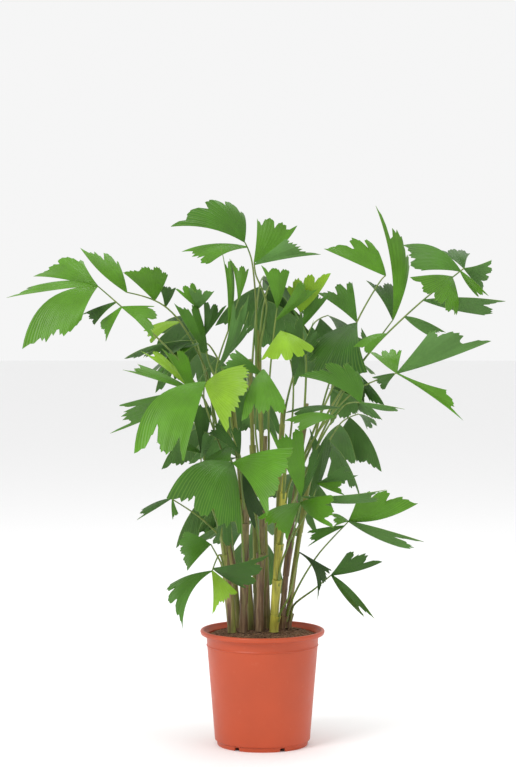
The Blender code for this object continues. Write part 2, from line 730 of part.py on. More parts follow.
def blade_point(shape, out, across):
    # A point of the blade: out runs from the root to the outer edge, across from the long edge
    # to the short one.
    root, edge, normal, side, length, spread, short, bow = shape
    turn = math.radians(spread) * across
    reach = out * length * end_ratio(short, across)
    arch = 4.0 * out * (1.0 - out)
    sign = 1.0 if spread > 0 else -1.0
    ahead = reach * math.cos(turn)
    aside = reach * math.sin(turn) + sign * LEAF_ROOT * (across - 0.5)
    aside -= sign * arch * bow * length * (1.0 - across)
    middle = 1.0 - abs(2.0 * across - 1.0)
    lift = arch * CURL * length + CUP * (middle - 0.5) * abs(math.sin(turn * 0.5)) * reach
    return root + edge * ahead + side * aside + normal * lift


def blade(shape, thickness):
    # A closed leaf blade, as a bmesh: a grid laid on the blade, with a second layer under it.
    length, spread = shape[4], abs(shape[5])
    outs = 3 if length > LARGE_LEAF else 2
    strips = 5 if spread > WIDE_SPREAD else 4 if spread > NARROW_SPREAD else 3
    if length < SMALL_LEAF:
        strips = max(strips - 1, 2)
    bm = bmesh.new()
    bmesh.ops.create_grid(bm, x_segments=outs, y_segments=strips, size=0.5)
    under = bmesh.ops.extrude_face_region(bm, geom=bm.faces[:], use_keep_orig=True)
    for item in under["geom"]:
        if isinstance(item, bmesh.types.BMVert):
            item.co.z = 1.0
    for vert in bm.verts:
        out = min(max(vert.co.x + 0.5, 0.0), 1.0)
        across = min(max(vert.co.y + 0.5, 0.0), 1.0)
        layer = 0.5 - vert.co.z
        place = blade_point(shape, out, across)
        ahead = blade_point(shape, out + 0.02, across) - blade_point(shape, out - 0.02, across)
        aside = blade_point(shape, max(out, 0.1), across + 0.02)
        aside -= blade_point(shape, max(out, 0.1), across - 0.02)
        normal = ahead.cross(aside).normalized()
        vert.co = place + normal * layer * thickness
    bmesh.ops.recalc_face_normals(bm, faces=bm.faces)
    return bm


def leaf_thickness(length):
    return max(LEAF_THICKNESS, length * LEAF_THICKNESS_RATIO)


def tree_of(bm):
    return BVHTree.FromBMesh(bm)


def box_of(bm):
    places = [vert.co for vert in bm.verts]
    low = Vector([min(place[axis] for place in places) for axis in range(3)])
    high = Vector([max(place[axis] for place in places) for axis in range(3)])
    return low, high


def clear_of(placed, bm, owner):
    # Whether a mesh touches nothing in place that belongs to another part.
    tree = tree_of(bm)
    low, high = box_of(bm)
    for other, other_tree, other_low, other_high in placed:
        if other == owner:
            continue
        if any(low[axis] > other_high[axis] or high[axis] < other_low[axis] for axis in range(3)):
            continue
        if tree.overlap(other_tree):
            return False
    return True


def keep(placed, bm, owner):
    placed.append((owner, tree_of(bm), *box_of(bm)))


def stalk_points(cane, height, targets, shift, seat):
    # The stalk leaves the side of its cane that faces its first point, just clear of it.
    start = cane_point(cane, height * CM)
    aim = targets[0] - start
    aim.z = 0.0
    aim = Matrix.Rotation(math.radians(shift[2]), 3, "Z") @ aim.normalized()
    root = start + aim * (cane_radius(cane, height * CM) * 0.92 + STALK_RADIUS * 0.7 + seat)
    move = Vector((shift[0] * CM, shift[1] * CM, 0.0))
    inner = [point + move for point in targets[:-1]]
    lift = Vector((0.0, 0.0, 0.20 * (targets[0] - root).length))
    second = root + (targets[0] - root) * 0.14 + lift + aim * 0.002 + move * 0.5
    return [root, second, *inner, targets[-1]]


def stalk_path(points):
    path = smooth_path(points, SPAN_STEPS)
    count = len(path) - 1
    taper = STALK_RADIUS - STALK_TIP_RADIUS
    radii = [STALK_RADIUS - taper * index / count for index in range(len(path))]
    return path, radii


def table_leaves(frond, path):
    # Each leaf of a listed frond as (root, tip, spread, short, bow, tilt, faces_up).
    leaves = []
    for leaf in frond.leaves:
        root = path_at(path, leaf.at + 2.0)
        tip = (leaf.x, leaf.y, leaf.z)
        leaves.append((root, tip, leaf.spread, leaf.short, leaf.bow, leaf.tilt, False))
    return leaves


def spray_targets(spray):
    start = cane_point(spray.cane, spray.height * CM)
    heading = math.radians(spray.heading)
    out = Vector((math.cos(heading), math.sin(heading), 0.0)) * spray.reach * CM
    up = Vector((0.0, 0.0, spray.rise * CM))
    return [start + out * 0.30 + up * 0.55, start + out * 0.66 + up * 0.92, start + out + up]


def spray_leaves(spray, path, chance):
    # The leaves of a rear frond stand by turns on either side of its stalk, and one ends it.
    leaves = []
    for index in range(spray.count):
        share = (index + 1.0) / spray.count
        place = 1.9 + 2.1 * share
        root = path_at(path, place)
        ahead = root - path_at(path, place - 0.5)
        heading = math.atan2(ahead.y, ahead.x)
        hand = 1.0 if index % 2 else -1.0
        swing = math.radians(chance.uniform(*LEAF_SWINGS)) * hand * (1.0 if share < 1.0 else 0.2)
        droop = math.radians(chance.uniform(*LEAF_DROOPS))
        length = chance.uniform(*LEAF_LENGTHS) * CM
        level = math.cos(droop) * length
        step = Vector((math.cos(heading + swing) * level, math.sin(heading + swing) * level, 0.0))
        step.z = -math.sin(droop) * length * (0.4 if share == 1.0 else 1.0)
        spread = chance.uniform(*LEAF_SPREADS) * -hand
        short = chance.uniform(*LEAF_SHORTS)
        tilt = chance.uniform(*LEAF_TILTS) * hand
        leaves.append((root, root + step, spread, short, 0.06, tilt, True))
    return leaves


def settle_leaf(leaf, owner, placed):
    # The first nudge that leaves the blade clear of everything in place, or nothing.
    root, tip, spread, short, bow, tilt, faces_up = leaf
    for shift, turn, share in NUDGES:
        if faces_up:
            arm = Matrix.Rotation(math.radians(shift * 3.0), 3, "Z") @ (tip - root)
            end = root + arm * share
        else:
            end = seen(tip[0], tip[1] + shift, tip[2])
            end = root + (end - root) * share
        length = (end - root).length
        edge, normal, side = blade_frame(root, end, tilt + turn, faces_up)
        shape = (root, edge, normal, side, length, spread, short, bow)
        bm = blade(shape, leaf_thickness(length) + TEST_SWELL)
        if clear_of(placed, bm, owner):
            keep(placed, bm, owner)
            bm.free()
            return shape
        bm.free()
    return None


def plan_fronds(placed):
    # Every frond as (name, stalk path, radii, leaf shapes), all clear of the canes and each other.
    plans = []
    targets = {}
    for name, frond in FRONDS.items():
        targets[name] = (frond.cane, frond.height, [seen(*point) for point in frond.stalk])
    for name, spray in SPRAYS.items():
        targets[name] = (spray.cane, spray.height, spray_targets(spray))
    stalks = {}
    for name, (cane, height, ends) in targets.items():
        for shift, seat in itertools.product(STALK_SHIFTS, STALK_SEATS):
            points = stalk_points(cane, height, ends, shift, seat)
            path, radii = stalk_path(points)
            bm = tube(path, [radius + STALK_SWELL for radius in radii], STALK_BEVEL_STEPS)
            free = clear_of(placed, bm, name)
            if free:
                keep(placed, bm, name)
            bm.free()
            if free:
                stalks[name] = (path, radii)
                break
        else:
            print("no clear way for the stalk of", name)
    chance = random.Random(SPRAY_SEED)
    for name, (path, radii) in stalks.items():
        if name in FRONDS:
            leaves = table_leaves(FRONDS[name], path)
        else:
            leaves = spray_leaves(SPRAYS[name], path, chance)
        shapes = [settle_leaf(leaf, name, placed) for leaf in leaves]
        kept = [shape for shape in shapes if shape]
        if len(kept) < len(leaves):
            print(name, "leaves out", len(leaves) - len(kept), "of", len(leaves))
        if kept:
            plans.append((name, path, radii, kept))
    return plans


def main_body(mesh):
    # Drops loose scraps: only the largest piece stays whose faces join along their edges.
    bm = bmesh.new()
    bm.from_mesh(mesh)
    left = set(bm.faces)
    pieces = []
    while left:
        piece = []
        todo = [left.pop()]
        while todo:
            face = todo.pop()
            piece.append(face)
            near = {other for edge in face.edges for other in edge.link_faces} & left
            left -= near
            todo.extend(near)
        pieces.append(piece)
    pieces.sort(key=len)
    scraps = [face for piece in pieces[:-1] for face in piece]
    if scraps:
        print(mesh.name, "drops scraps of", [len(piece) for piece in pieces[:-1]], "faces")
        bmesh.ops.delete(bm, geom=scraps, context="FACES")
    bm.to_mesh(mesh)
    bm.free()


def build_frond(plan, group, materials):
    name, path, radii, shapes = plan
    material = materials[sum(map(ord, name)) % len(materials)]
    frond = new_object(name, tube(path, radii, STALK_BEVEL_STEPS), group, material)
    leaves = bpy.data.collections.new(name + "_leaves")
    bpy.context.scene.collection.children.link(leaves)
    for index, shape in enumerate(shapes):
        bm = blade(shape, leaf_thickness(shape[4]))
        new_object(f"{name}_leaf_{index + 1}", bm, leaves, material)
    join = frond.modifiers.new("join", "BOOLEAN")
    join.operation = "UNION"
    join.operand_type = "COLLECTION"
    join.collection = leaves
    join.solver = "MANIFOLD"
    bake(frond)
    for leaf in list(leaves.objects):
        bpy.data.objects.remove(leaf)
    bpy.data.collections.remove(leaves)
    main_body(frond.data)
    return frond


def build():
    clear_scene()
    group = new_collection(NAME)
    cutters = new_collection(NAME + "_cutters")
    build_pot(group, cutters, new_material("pot_plastic", POT_COLOUR, 0.42))
    build_soil(group, new_material("potting_mix", SOIL_COLOUR, 0.95))
    cane_material = new_material("cane_sheath", CANE_COLOUR, 0.55)
    leaf_materials = [new_material(name, colour, 0.38) for name, colour in LEAF_COLOURS.items()]
    placed = []
    for name in CANES:
        foot = SOIL_CROWN + CLEARANCE
        top = CANES[name][1][2] * CM
        heights = [foot + (top - foot) * index / CANE_RINGS for index in range(CANE_RINGS + 1)]
        points = [cane_point(name, height) for height in heights]
        radii = [cane_radius(name, height) for height in heights]
        bm = tube(points, radii, (CANE_SIDES - 4) // 2)
        for vert in bm.verts:
            if vert.co.z < foot + radii[0]:
                vert.co.z = max(vert.co.z, foot)
        keep(placed, bm, name)
        new_object(name, bm, group, cane_material)
    for plan in plan_fronds(placed):
        build_frond(plan, group, leaf_materials)


build()
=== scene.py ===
import itertools
import math
import random
from functools import partial

import bmesh
import bpy
from mathutils import Matrix, Vector, noise
from mathutils.bvhtree import BVHTree


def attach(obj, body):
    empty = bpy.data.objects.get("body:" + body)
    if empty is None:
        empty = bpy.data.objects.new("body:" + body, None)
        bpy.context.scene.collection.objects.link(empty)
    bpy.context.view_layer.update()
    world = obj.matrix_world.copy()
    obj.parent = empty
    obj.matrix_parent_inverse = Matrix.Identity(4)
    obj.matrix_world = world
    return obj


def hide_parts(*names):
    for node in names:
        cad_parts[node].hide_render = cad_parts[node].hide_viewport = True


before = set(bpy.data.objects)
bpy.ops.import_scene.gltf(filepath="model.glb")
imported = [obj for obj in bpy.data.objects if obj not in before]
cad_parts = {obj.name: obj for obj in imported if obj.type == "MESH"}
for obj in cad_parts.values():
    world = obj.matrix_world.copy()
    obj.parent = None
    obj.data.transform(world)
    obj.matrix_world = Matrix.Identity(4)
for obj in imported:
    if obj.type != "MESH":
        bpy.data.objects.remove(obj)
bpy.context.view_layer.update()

# Potted fishtail palm: a clump of canes in a terracotta-coloured plastic pot, its front facing -Y.
# The fronds are laid out and settled by the same rule as the solids, then each leaf is built finer.

cm = 0.01
clearance = 0.0003  # between a cane's foot and the soil

# Widths and heights on the plant are as the camera sees them, from this distance and eye height. It
# aims at a point of the plant's middle plane, where its picture is as high as given.
sight = {"distance": 5.04, "height": 1.01, "aim": (-0.00864, 0, 0.69888), "frame": 1.47264, "sensor": 24}

# Canes: foot (x, y), top (x, y, z) and radius, in cm.
canes = {
    "left": ((-5.9, -1.2), (-8.2, -2.6, 46), 0.7),
    "left_mid": ((-3.7, -0.4), (-2.7, -3.6, 56), 0.7),
    "centre_left": ((-2.2, 2.6), (-6.2, 4.4, 70), 0.62),
    "centre": ((-0.6, 0.4), (0.6, -3, 60), 0.7),
    "centre_right": ((0.9, 3.4), (-1, 3, 80), 0.62),
    "bright": ((2.2, -0.4), (4.3, -3.4, 54), 0.7),
    "right": ((3.7, 1.8), (8.6, 0.6, 66), 0.58),
    "rear_left": ((-4.7, 4.6), (-9.5, 9, 60), 0.65),
    "rear": ((-1, 5.8), (-2.5, 11, 74), 0.62),
    "rear_right": ((2.4, 5.9), (4, 11.5, 66), 0.62),
    "far_right": ((4.9, 4.4), (10, 7, 56), 0.6),
}

# A frond: its cane, the height in cm where it leaves it, the points of its stalk and its leaves.
# A leaf is a count along the stalk where it starts, x, y, z of the tip of its long edge in cm, then
# spread, short, bow and tilt: the blade fans out from that edge by spread degrees to a short edge,
# bows outward and is tilted about it.
fronds = {
    "far_left": ("centre_left", 46, [
        (-11, -2, 66.5), (-17.8, -3.5, 76.3), (-27, -5, 84.6), (-31.6, -6, 88.6),
    ], [
        (3, -46, -12, 76.3, 25, 0.45, 0.19, 20), (3, -49.1, -3, 86.8, -16, 0.8, 0.1, 62),
        (3, -44.3, 3, 90.9, -38, 0.45, 0, 10), (2.2, -34.5, -2, 83, 26, 0.8, 0, 20),
        (2, -20.6, -11, 78.2, 36, 0.8, -0.05, 15), (2, -30.2, -2, 78, -26, 0.75, 0, 10),
    ]),
    "left_upper": ("rear_left", 54, [
        (-10.6, 6, 71.5), (-15.8, 5.5, 81.7), (-20.6, 5, 85.8), (-26, 4, 87.4),
    ], [
        (3, -34.8, 6, 95.9, -30, 0.55, 0.08, 20), (2, -26.6, 2, 91.3, -80, 0.66, 0, 12),
        (1.6, -16.6, 8, 88.4, 50, 0.8, 0, 30), (1, -23, 10, 80, 30, 0.8, 0.05, 40),
    ]),
    "left_shoulder": ("centre_left", 60, [
        (-10.2, 1, 73.8), (-11.4, 0, 80.2), (-12.3, -1, 84.4),
    ], [
        (2, -16.6, -3, 88.2, -45, 0.8, 0.05, 20), (2, -9.3, -5, 87.8, 50, 0.9, 0, 25),
        (0.3, -16.6, -4, 85.3, -22, 0.8, 0.05, 15), (0.8, -6.9, 2, 85, 36, 0.95, 0, 20),
    ]),
    "top_left": ("centre_right", 68, [
        (-1.2, 3, 84), (-2, 2, 93.2), (-3.4, 1, 97),
    ], [
        (2, -17.4, -2, 100.3, -85, 0.4, -0.06, 20), (1.7, -15.5, 6, 95, 22, 0.6, 0.05, 30),
    ]),
    "spears": ("left_mid", 50, [
        (-8.6, -4, 66), (-8.8, -5, 73), (-6.6, -4, 80), (-4.6, -3, 86),
    ], [
        (2, -7.4, -2, 96.1, -10, 0.95, 0.03, 48), (3, -5.9, -1, 93.6, -28, 0.98, 0, 25),
        (0.9, -2.4, -8, 86.7, 11, 0.92, 0.05, 45), (1.1, -2.4, -4, 83.6, -13, 0.92, -0.04, 40),
    ]),
    "top": ("centre_right", 74, [
        (0.8, -1, 85), (-1.2, -2.5, 90.5), (-1.6, -4, 93.2),
    ], [
        (2, 6.6, -2, 100.3, 45, 0.76, 0.08, 15), (1.8, 11, -11, 94.6, 25, 0.62, -0.04, 25),
    ]),
    "crown_heart": ("centre", 54, [
        (1.2, -2, 68), (2, -3, 78), (2.8, -3, 84.4),
    ], [
        (2, -0.1, -5, 92.6, -40, 0.84, 0, 15), (1.6, 10.5, -1, 88, 24, 0.9, 0, 30),
    ]),
    "crown_right": ("right", 60, [
        (8.4, 3, 74), (7.6, 2, 80), (7.2, 1, 83.6),
    ], [
        (2, 13, 0, 91.1, 66, 0.56, 0.04, 15), (1.2, 12.8, 4, 87, 36, 0.9, 0, 20),
    ]),
    "upper_right": ("right", 52, [
        (10.7, 2, 62.9), (14.9, 3, 72.5), (18.1, 4, 81.7), (22.2, 5, 89), (23.6, 5.5, 90.6),
    ], [
        (2, 10.5, 6, 87.6, -45, 0.9, 0, 15), (4, 12, 4, 96.1, -50, 0.5, 0.04, 18),
        (2, 19.9, -8, 72.1, -103, 0.8, 0, 18),
    ]),
    "tall_right": ("far_right", 52, [
        (16, 7, 69), (22, 8, 78), (25, 8, 82.1),
    ], [
        (2, 21.8, 7, 104, -26, 0.5, -0.04, 14), (2, 20.2, 12, 90, -48, 0.9, 0, 35),
        (0.8, 18.9, 4, 80.5, 24, 0.85, 0, 20),
    ]),
    "far_right": ("right", 46, [
        (13, -2, 65), (19.1, -2, 74), (23.8, -2, 79.4), (30.8, -3, 85.9), (36.4, -4, 90.3),
        (38.6, -4, 92),
    ], [
        (4.6, 26.6, 1, 96.3, 25, 0.66, 0.15, 15), (4, 28.7, -12, 90.4, 80, 0.68, 0, 15),
        (4.6, 43.1, -8, 86.5, -14, 0.8, 0.08, 40), (5, 33.5, 3, 95.6, -45, 0.6, 0, 25),
        (5, 42.2, -1, 87.8, 66, 0.84, 0, 20), (3, 46.6, -5, 85.7, -13, 0.9, 0.08, 35),
        (2.5, 35.2, -7, 79.6, -14, 0.85, 0.13, 42), (2, 17.6, -6, 77, 22, 0.9, 0.08, 25),
    ]),
    "right_middle": ("bright", 46, [
        (11, -5, 61), (18, -8, 68.6), (25.8, -11, 71.9),
    ], [
        (2, 43.7, -18, 77.9, 30, 0.55, 0, 18), (2, 38.5, -14, 62.7, 16, 0.66, -0.05, 25),
        (1.95, 21, -10, 71, 48, 0.85, 0, 20), (2, 20.6, -7, 76, -52, 0.75, 0.05, 22),
    ]),
    "right_inner": ("bright", 38, [
        (7.6, -8, 51), (11.4, -10, 59.4), (15.6, -12, 65.6), (18.9, -13, 66.2),
    ], [
        (3, 7.2, -15, 71.5, -75, 0.36, -0.05, 20), (1.9, 4.1, -12, 64.4, 12, 0.8, 0.05, 52),
        (1.6, 4.2, -18, 62.6, 15, 0.85, 0.06, 30), (3, 27.2, -16, 64.6, -6, 0.8, 0.1, 50),
    ]),
    "left_front": ("left_mid", 42, [
        (-9, -7, 60), (-11.2, -11, 66.7), (-11, -13, 70.2),
    ], [
        (2, -24.6, -22, 56.7, 27, 0.98, 0.2, 18), (1.9, -6.6, -24, 60.4, 74, 0.62, 0, 18),
        (1.6, -29.4, -13, 60.4, -14, 0.85, 0.05, 12),
    ]),
    "left_inner": ("left", 42, [
        (-11.6, -3, 57), (-13.2, -4, 64), (-13.2, -4, 68.4),
    ], [
        (2, -26.8, -4, 72.7, -9, 0.85, 0.03, 25), (2, -23.3, 0, 76.5, -10, 0.85, 0.02, 25),
        (1.6, -19.3, -8, 76.7, -24, 0.8, 0, 25), (1.2, -19.7, -6, 60, 26, 0.85, 0.05, 20),
    ]),
    "left_low": ("left", 36, [
        (-11.4, -3.5, 51), (-11.8, -5, 56.5),
    ], [
        (1, -14.2, -6, 67, -28, 0.92, 0, 20), (1, -15.8, -8, 57.2, -24, 0.8, 0, 20),
        (0.8, -8.4, -7, 61, 20, 0.8, 0, 20),
    ]),
    "front_fan": ("left_mid", 33, [
        (-4.6, -9, 47), (-5.8, -13, 54.6),
    ], [
        (1, -18.2, -26, 47.9, 54, 1.02, 0.15, 14), (1, 1, -27, 44.4, 52, 0.8, -0.06, 14),
        (0.9, -5.9, -14, 36, -14, 0.85, 0, 25),
    ]),
    "front_dark": ("centre", 36, [
        (-2.6, -8, 49), (-4.4, -10, 56.4),
    ], [
        (0.6, -1.2, -11, 41.6, 16, 0.9, 0.05, 20), (1, -11.2, -12, 60.8, -26, 0.9, 0, 25),
        (1, -6.4, -9, 62, -22, 0.9, 0, 20),
    ]),
    "centre_front": ("centre", 48, [
        (-1.4, -9, 62), (0.2, -13, 72.6),
    ], [
        (1, -3.9, -22, 63, 42, 1, 0.06, 14), (0.9, -8.4, -14, 73, -36, 0.85, 0, 18),
    ]),
    "centre_round": ("bright", 48, [
        (5.6, -8, 62), (5.8, -10, 72), (3.6, -12, 80),
    ], [
        (2, -0.2, -17, 74.2, 88, 0.9, 0, 14), (0.9, 7.5, -11, 84, 16, 0.88, 0.04, 25),
        (1.2, 10.2, -6, 82, -22, 0.85, 0, 30),
    ]),
    "low_left_tip": ("rear_left", 36, [
        (-12, 3, 44), (-17.6, 1, 47.7),
    ], [
        (1, -24.3, 0, 43.7, -14, 0.85, 0.08, 45), (0.95, -17.2, -1, 43.6, 18, 1, 0, 25),
    ]),
    "low_left": ("left", 29, [
        (-8.2, -7, 36.8), (-9.7, -10, 33.7),
    ], [
        (1, -15.6, -17, 22.6, -48, 0.66, -0.12, 15), (1, -9.6, -16, 25.4, 40, 0.78, -0.05, 15),
        (0.9, 1.2, -14, 36.6, -45, 0.62, 0, 15),
    ]),
    "low_left_back": ("left", 33.5, [
        (-10, -4, 38.9),
    ], [
        (0, -14.6, -8, 33.7, -82, 0.72, 0, 15),
    ]),
    "low_heart": ("bright", 31, [
        (6.2, -8, 42), (7.6, -11, 48.1),
    ], [
        (1, 12.2, -11, 58.7, 14, 0.85, 0, 25), (1, 23.9, -18, 49.2, -10, 0.9, 0.03, 45),
        (1, 1.4, -15, 61, -27, 0.92, 0.03, 15), (0.8, 4.6, -20, 39.7, -48, 0.8, 0, 15),
        (0.8, 13.9, -19, 42.1, 34, 0.8, 0.05, 15),
    ]),
    "low_heart_back": ("right", 38, [
        (9, -2, 46), (10.6, -3, 50.6),
    ], [
        (0.4, 9.4, -4, 61.2, -24, 0.9, 0, 25), (1, 18.4, -5, 52.3, 22, 0.8, 0.04, 25),
        (1, 15.8, -7, 48.4, 22, 0.9, 0, 25),
    ]),
    "low_right": ("right", 23.6, [
        (7.2, -2, 31.2), (11, -4, 37.2), (16.6, -6, 43.3),
    ], [
        (2, 29.9, -8, 46.7, 52, 0.36, 0.06, 15), (2, 31.2, -13, 39.3, -10, 0.88, 0.07, 38),
        (2, 13.6, -11, 42.4, -32, 0.8, 0, 20), (1.85, 8.6, -8, 38.5, -20, 0.9, 0, 15),
    ]),
    "low_right_tip": ("far_right", 23.6, [
        (9.7, -4, 29.9), (13.3, -7, 32.9),
    ], [
        (1, 23.1, -9, 35.6, 38, 0.56, 0.02, 18), (1, 21.2, -12, 24.1, -7, 0.85, 0.13, 40),
    ]),
    "low_front": ("bright", 24, [
        (5.2, -3, 29), (7.1, -5, 37.3),
    ], [
        (1, 10.6, -10, 28.1, 36, 0.76, -0.18, 20),
    ]),
}

# The fronds behind: cane, height in cm, heading in degrees, reach and rise in cm.
sprays = {
    "back_top": ("rear", 68, 80, 15, 22),
    "back_left_top": ("rear_left", 57, 118, 16, 25),
    "back_right_top": ("rear_right", 60, 60, 19, 22),
    "back_right": ("far_right", 46, 62, 24, 16),
    "back_left": ("rear_left", 48, 112, 22, 13),
    "back": ("rear", 56, 94, 26, 14),
    "back_low_left": ("rear_left", 40, 104, 23, 8),
    "back_low_right": ("rear_right", 42, 78, 25, 9),
    "back_low": ("rear", 34, 92, 19, 8),
    "heart_left": ("centre_left", 66, 196, 7, 12),
    "heart_right": ("far_right", 54, 30, 8, 20),
    "heart_top": ("centre_right", 77, 60, 6, 12),
    "heart_front": ("centre", 58, -80, 5, 16),
    "heart_low_left": ("left_mid", 46, 215, 5, 14),
}


def addObject(name, data):
    item = bpy.data.objects.new(name, data)
    bpy.context.scene.collection.objects.link(item)
    return item


def addMesh(name, bm):
    mesh = bpy.data.meshes.new(name)
    bm.to_mesh(mesh)
    bm.free()
    return addObject(name, mesh)


def seen(x, y, z):
    # The real place, in metres, of a point seen from the front at width x and height z, in cm,
    # which lies at depth y.
    reach = 1 + y * cm / sight["distance"]
    return Vector((x * cm * reach, y * cm, sight["height"] + (z * cm - sight["height"]) * reach))


soil = {
    "crown": 0.219,  # height at the middle
    "edge": 0.211,  # height at the wall
    "crownRadius": 0.08, "foot": 0.15, "rings": 46, "sides": 150, "relief": 0.003, "lumps": 60,
    "crumbs": 900, "crumbSizes": (0.0008, 0.003), "fibres": 260, "fibreLengths": (0.004, 0.016),
    "fibreRadii": [0.0003, 0.0004, 0.0004, 0.0002],
    "seed": 7,
}
caneRule = {"sides": 8, "rings": 4, "bend": 1.25, "footSize": 1.18, "taper": 0.62}


def canePoint(cane, height):
    # A cane's middle at a height in metres. It starts upright and leans more toward the top.
    foot, top, _ = canes[cane]
    share = (height - soil["crown"]) / (top[2] * cm - soil["crown"])
    bend = share ** caneRule["bend"] if share > 0 else 0
    x = foot[0] + (top[0] - foot[0]) * bend
    y = foot[1] + (top[1] - foot[1]) * bend
    return Vector((x * cm, y * cm, height))


def caneRadius(cane, height):
    _, top, radius = canes[cane]
    share = (height - soil["crown"]) / (top[2] * cm - soil["crown"])
    return radius * cm * (caneRule["footSize"] - caneRule["taper"] * min(max(share, 0), 1))


def caneLine(cane, count):
    # Points and radii at even heights from a cane's foot to its top.
    foot = soil["crown"] + clearance
    rise = canes[cane][1][2] * cm - foot
    heights = [foot + rise * index / count for index in range(count + 1)]
    return [canePoint(cane, height) for height in heights], [caneRadius(cane, height) for height in heights]


def testTube(points, radii, bevelSteps):
    # A closed tube along a list of points, as a bmesh.
    curve = bpy.data.curves.new("tube", "CURVE")
    curve.dimensions = "3D"
    curve.bevel_depth = 1
    curve.bevel_resolution = bevelSteps
    curve.use_fill_caps = True
    spline = curve.splines.new("POLY")
    spline.points.add(len(points) - 1)
    for spot, place, radius in zip(spline.points, points, radii):
        spot.co = (*place, 1)
        spot.radius = radius
    holder = addObject("tube", curve)
    graph = bpy.context.evaluated_depsgraph_get()
    mesh = bpy.data.meshes.new_from_object(holder.evaluated_get(graph))
    bm = bmesh.new()
    bm.from_mesh(mesh)
    bmesh.ops.remove_doubles(bm, verts=bm.verts, dist=0.00001)
    bpy.data.objects.remove(holder)
    bpy.data.curves.remove(curve)
    bpy.data.meshes.remove(mesh)
    return bm


def takenIn(placed, bm, owner):
    # Whether a mesh touches nothing in place that belongs to another part. If so, it is put in place.
    tree = BVHTree.FromBMesh(bm)
    low, high = [[pick(vert.co[axis] for vert in bm.verts) for axis in range(3)] for pick in (min, max)]
    bm.free()
    for other, otherTree, otherLow, otherHigh in placed:
        apart = any(low[axis] > otherHigh[axis] or high[axis] < otherLow[axis] for axis in range(3))
        if other != owner and not apart and tree.overlap(otherTree):
            return False
    placed.append((owner, tree, low, high))
    return True


def placeCanes():
    placed = []
    for name in canes:
        points, radii = caneLine(name, caneRule["rings"])
        bm = testTube(points, radii, (caneRule["sides"] - 4) // 2)
        for vert in bm.verts:
            if vert.co.z < points[0].z + radii[0]:
                vert.co.z = max(vert.co.z, points[0].z)
        takenIn(placed, bm, "cane")
    return placed


stalk = {
    "radius": 0.0021, "tipRadius": 0.0016, "bevelSteps": 0, "spanSteps": 2,
    "swell": 0.0003,  # kept clear around it
    "rootSize": 1.25, "tipSize": 0.75, "sides": 8,
    "sink": 0.92,  # share of the cane's radius where it starts
    "lift": 0.2, "seats": (0, 0.0003, 0.0006, 0.0009, 0.0012, 0.0015),
    # Inner points move by x, y in cm, and the root turns about its cane by degrees.
    "shifts": [
        (0, 0, 0), (0, 0, 45), (0, 0, -45), (0, -1.5, 20), (0, 1.5, -20), (1.2, 0, 0), (-1.2, 0, 0),
        (0, -3, 45), (0, 3, -45), (0, 0, 90), (0, 0, -90), (1.2, -2.5, 60), (-1.2, 2.5, -60),
        (2.2, 2, 0), (-2.2, -2, 0), (0, -5, 0), (0, 5, 0),
    ],
}


def smoothPath(points, steps):
    # A smooth line through the points, with the given number of steps in each span.
    ends = [points[0] * 2 - points[1], *points, points[-1] * 2 - points[-2]]
    path = []
    for before, start, end, after in zip(ends, ends[1:], ends[2:], ends[3:]):
        rise = (end - before) * 0.5
        fall = (after - start) * 0.5
        for step in range(steps):
            share = step / steps
            square = share * share
            cube = square * share
            place = start * (2 * cube - 3 * square + 1) + rise * (cube - 2 * square + share)
            path.append(place + end * (3 * square - 2 * cube) + fall * (cube - square))
    path.append(points[-1])
    return path


def taper(first, last, path):
    # A radius for each point of a path, from the first to the last.
    return [first - (first - last) * index / (len(path) - 1) for index in range(len(path))]


def pathAt(path, place):
    # The point of a stalk's line at a count along the points that the line was drawn through.
    spot = min(place * stalk["spanSteps"], len(path) - 1)
    index = min(int(spot), len(path) - 2)
    return path[index].lerp(path[index + 1], spot - index)


def stalkPath(cane, height, targets, shift, seat):
    # The stalk leaves the side of its cane that faces its first point, just clear of it.
    start = canePoint(cane, height * cm)
    aim = targets[0] - start
    aim.z = 0
    aim = Matrix.Rotation(math.radians(shift[2]), 3, "Z") @ aim.normalized()
    root = start + aim * (caneRadius(cane, height * cm) * stalk["sink"] + stalk["radius"] * 0.7 + seat)
    move = Vector((shift[0] * cm, shift[1] * cm, 0))
    inner = [point + move for point in targets[:-1]]
    lift = Vector((0, 0, stalk["lift"] * (targets[0] - root).length))
    second = root + (targets[0] - root) * 0.14 + lift + aim * 0.002 + move * 0.5
    return smoothPath([root, second, *inner, targets[-1]], stalk["spanSteps"])


def settleStalk(name, cane, height, targets, placed):
    # The first shift and seat that leave the stalk clear of everything in place, or nothing.
    for shift, seat in itertools.product(stalk["shifts"], stalk["seats"]):
        path = stalkPath(cane, height, targets, shift, seat)
        radii = [radius + stalk["swell"] for radius in taper(stalk["radius"], stalk["tipRadius"], path)]
        if takenIn(placed, testTube(path, radii, stalk["bevelSteps"]), name):
            return path
    print("no clear way for the stalk of", name)
    return None


leaflet = {
    "root": 0.003, "thickness": 0.0016, "thicknessRatio": 0.0105, "tailShare": 0.16,
    "bodyShare": 0.88, "slope": 1.6, "curl": 0.07, "cup": 0.16, "small": 0.085, "large": 0.165,
    "wide": 78, "narrow": 52,
    "swell": 0.0009,  # kept clear around it
}


def bladeFrame(root, tip, tilt, facesUp):
    # The long edge's direction, the blade's normal and the direction across it.
    edge = (tip - root).normalized()
    face = Vector((0, 0, 1)) if facesUp else Vector((0, -1, 0.12))
    if abs(edge.dot(face)) > 0.96:
        face = Vector((0.3, -0.4, 0.6))
    normal = (face - edge * face.dot(edge)).normalized()
    normal = Matrix.Rotation(math.radians(tilt), 3, edge) @ normal
    return edge, normal, normal.cross(edge)


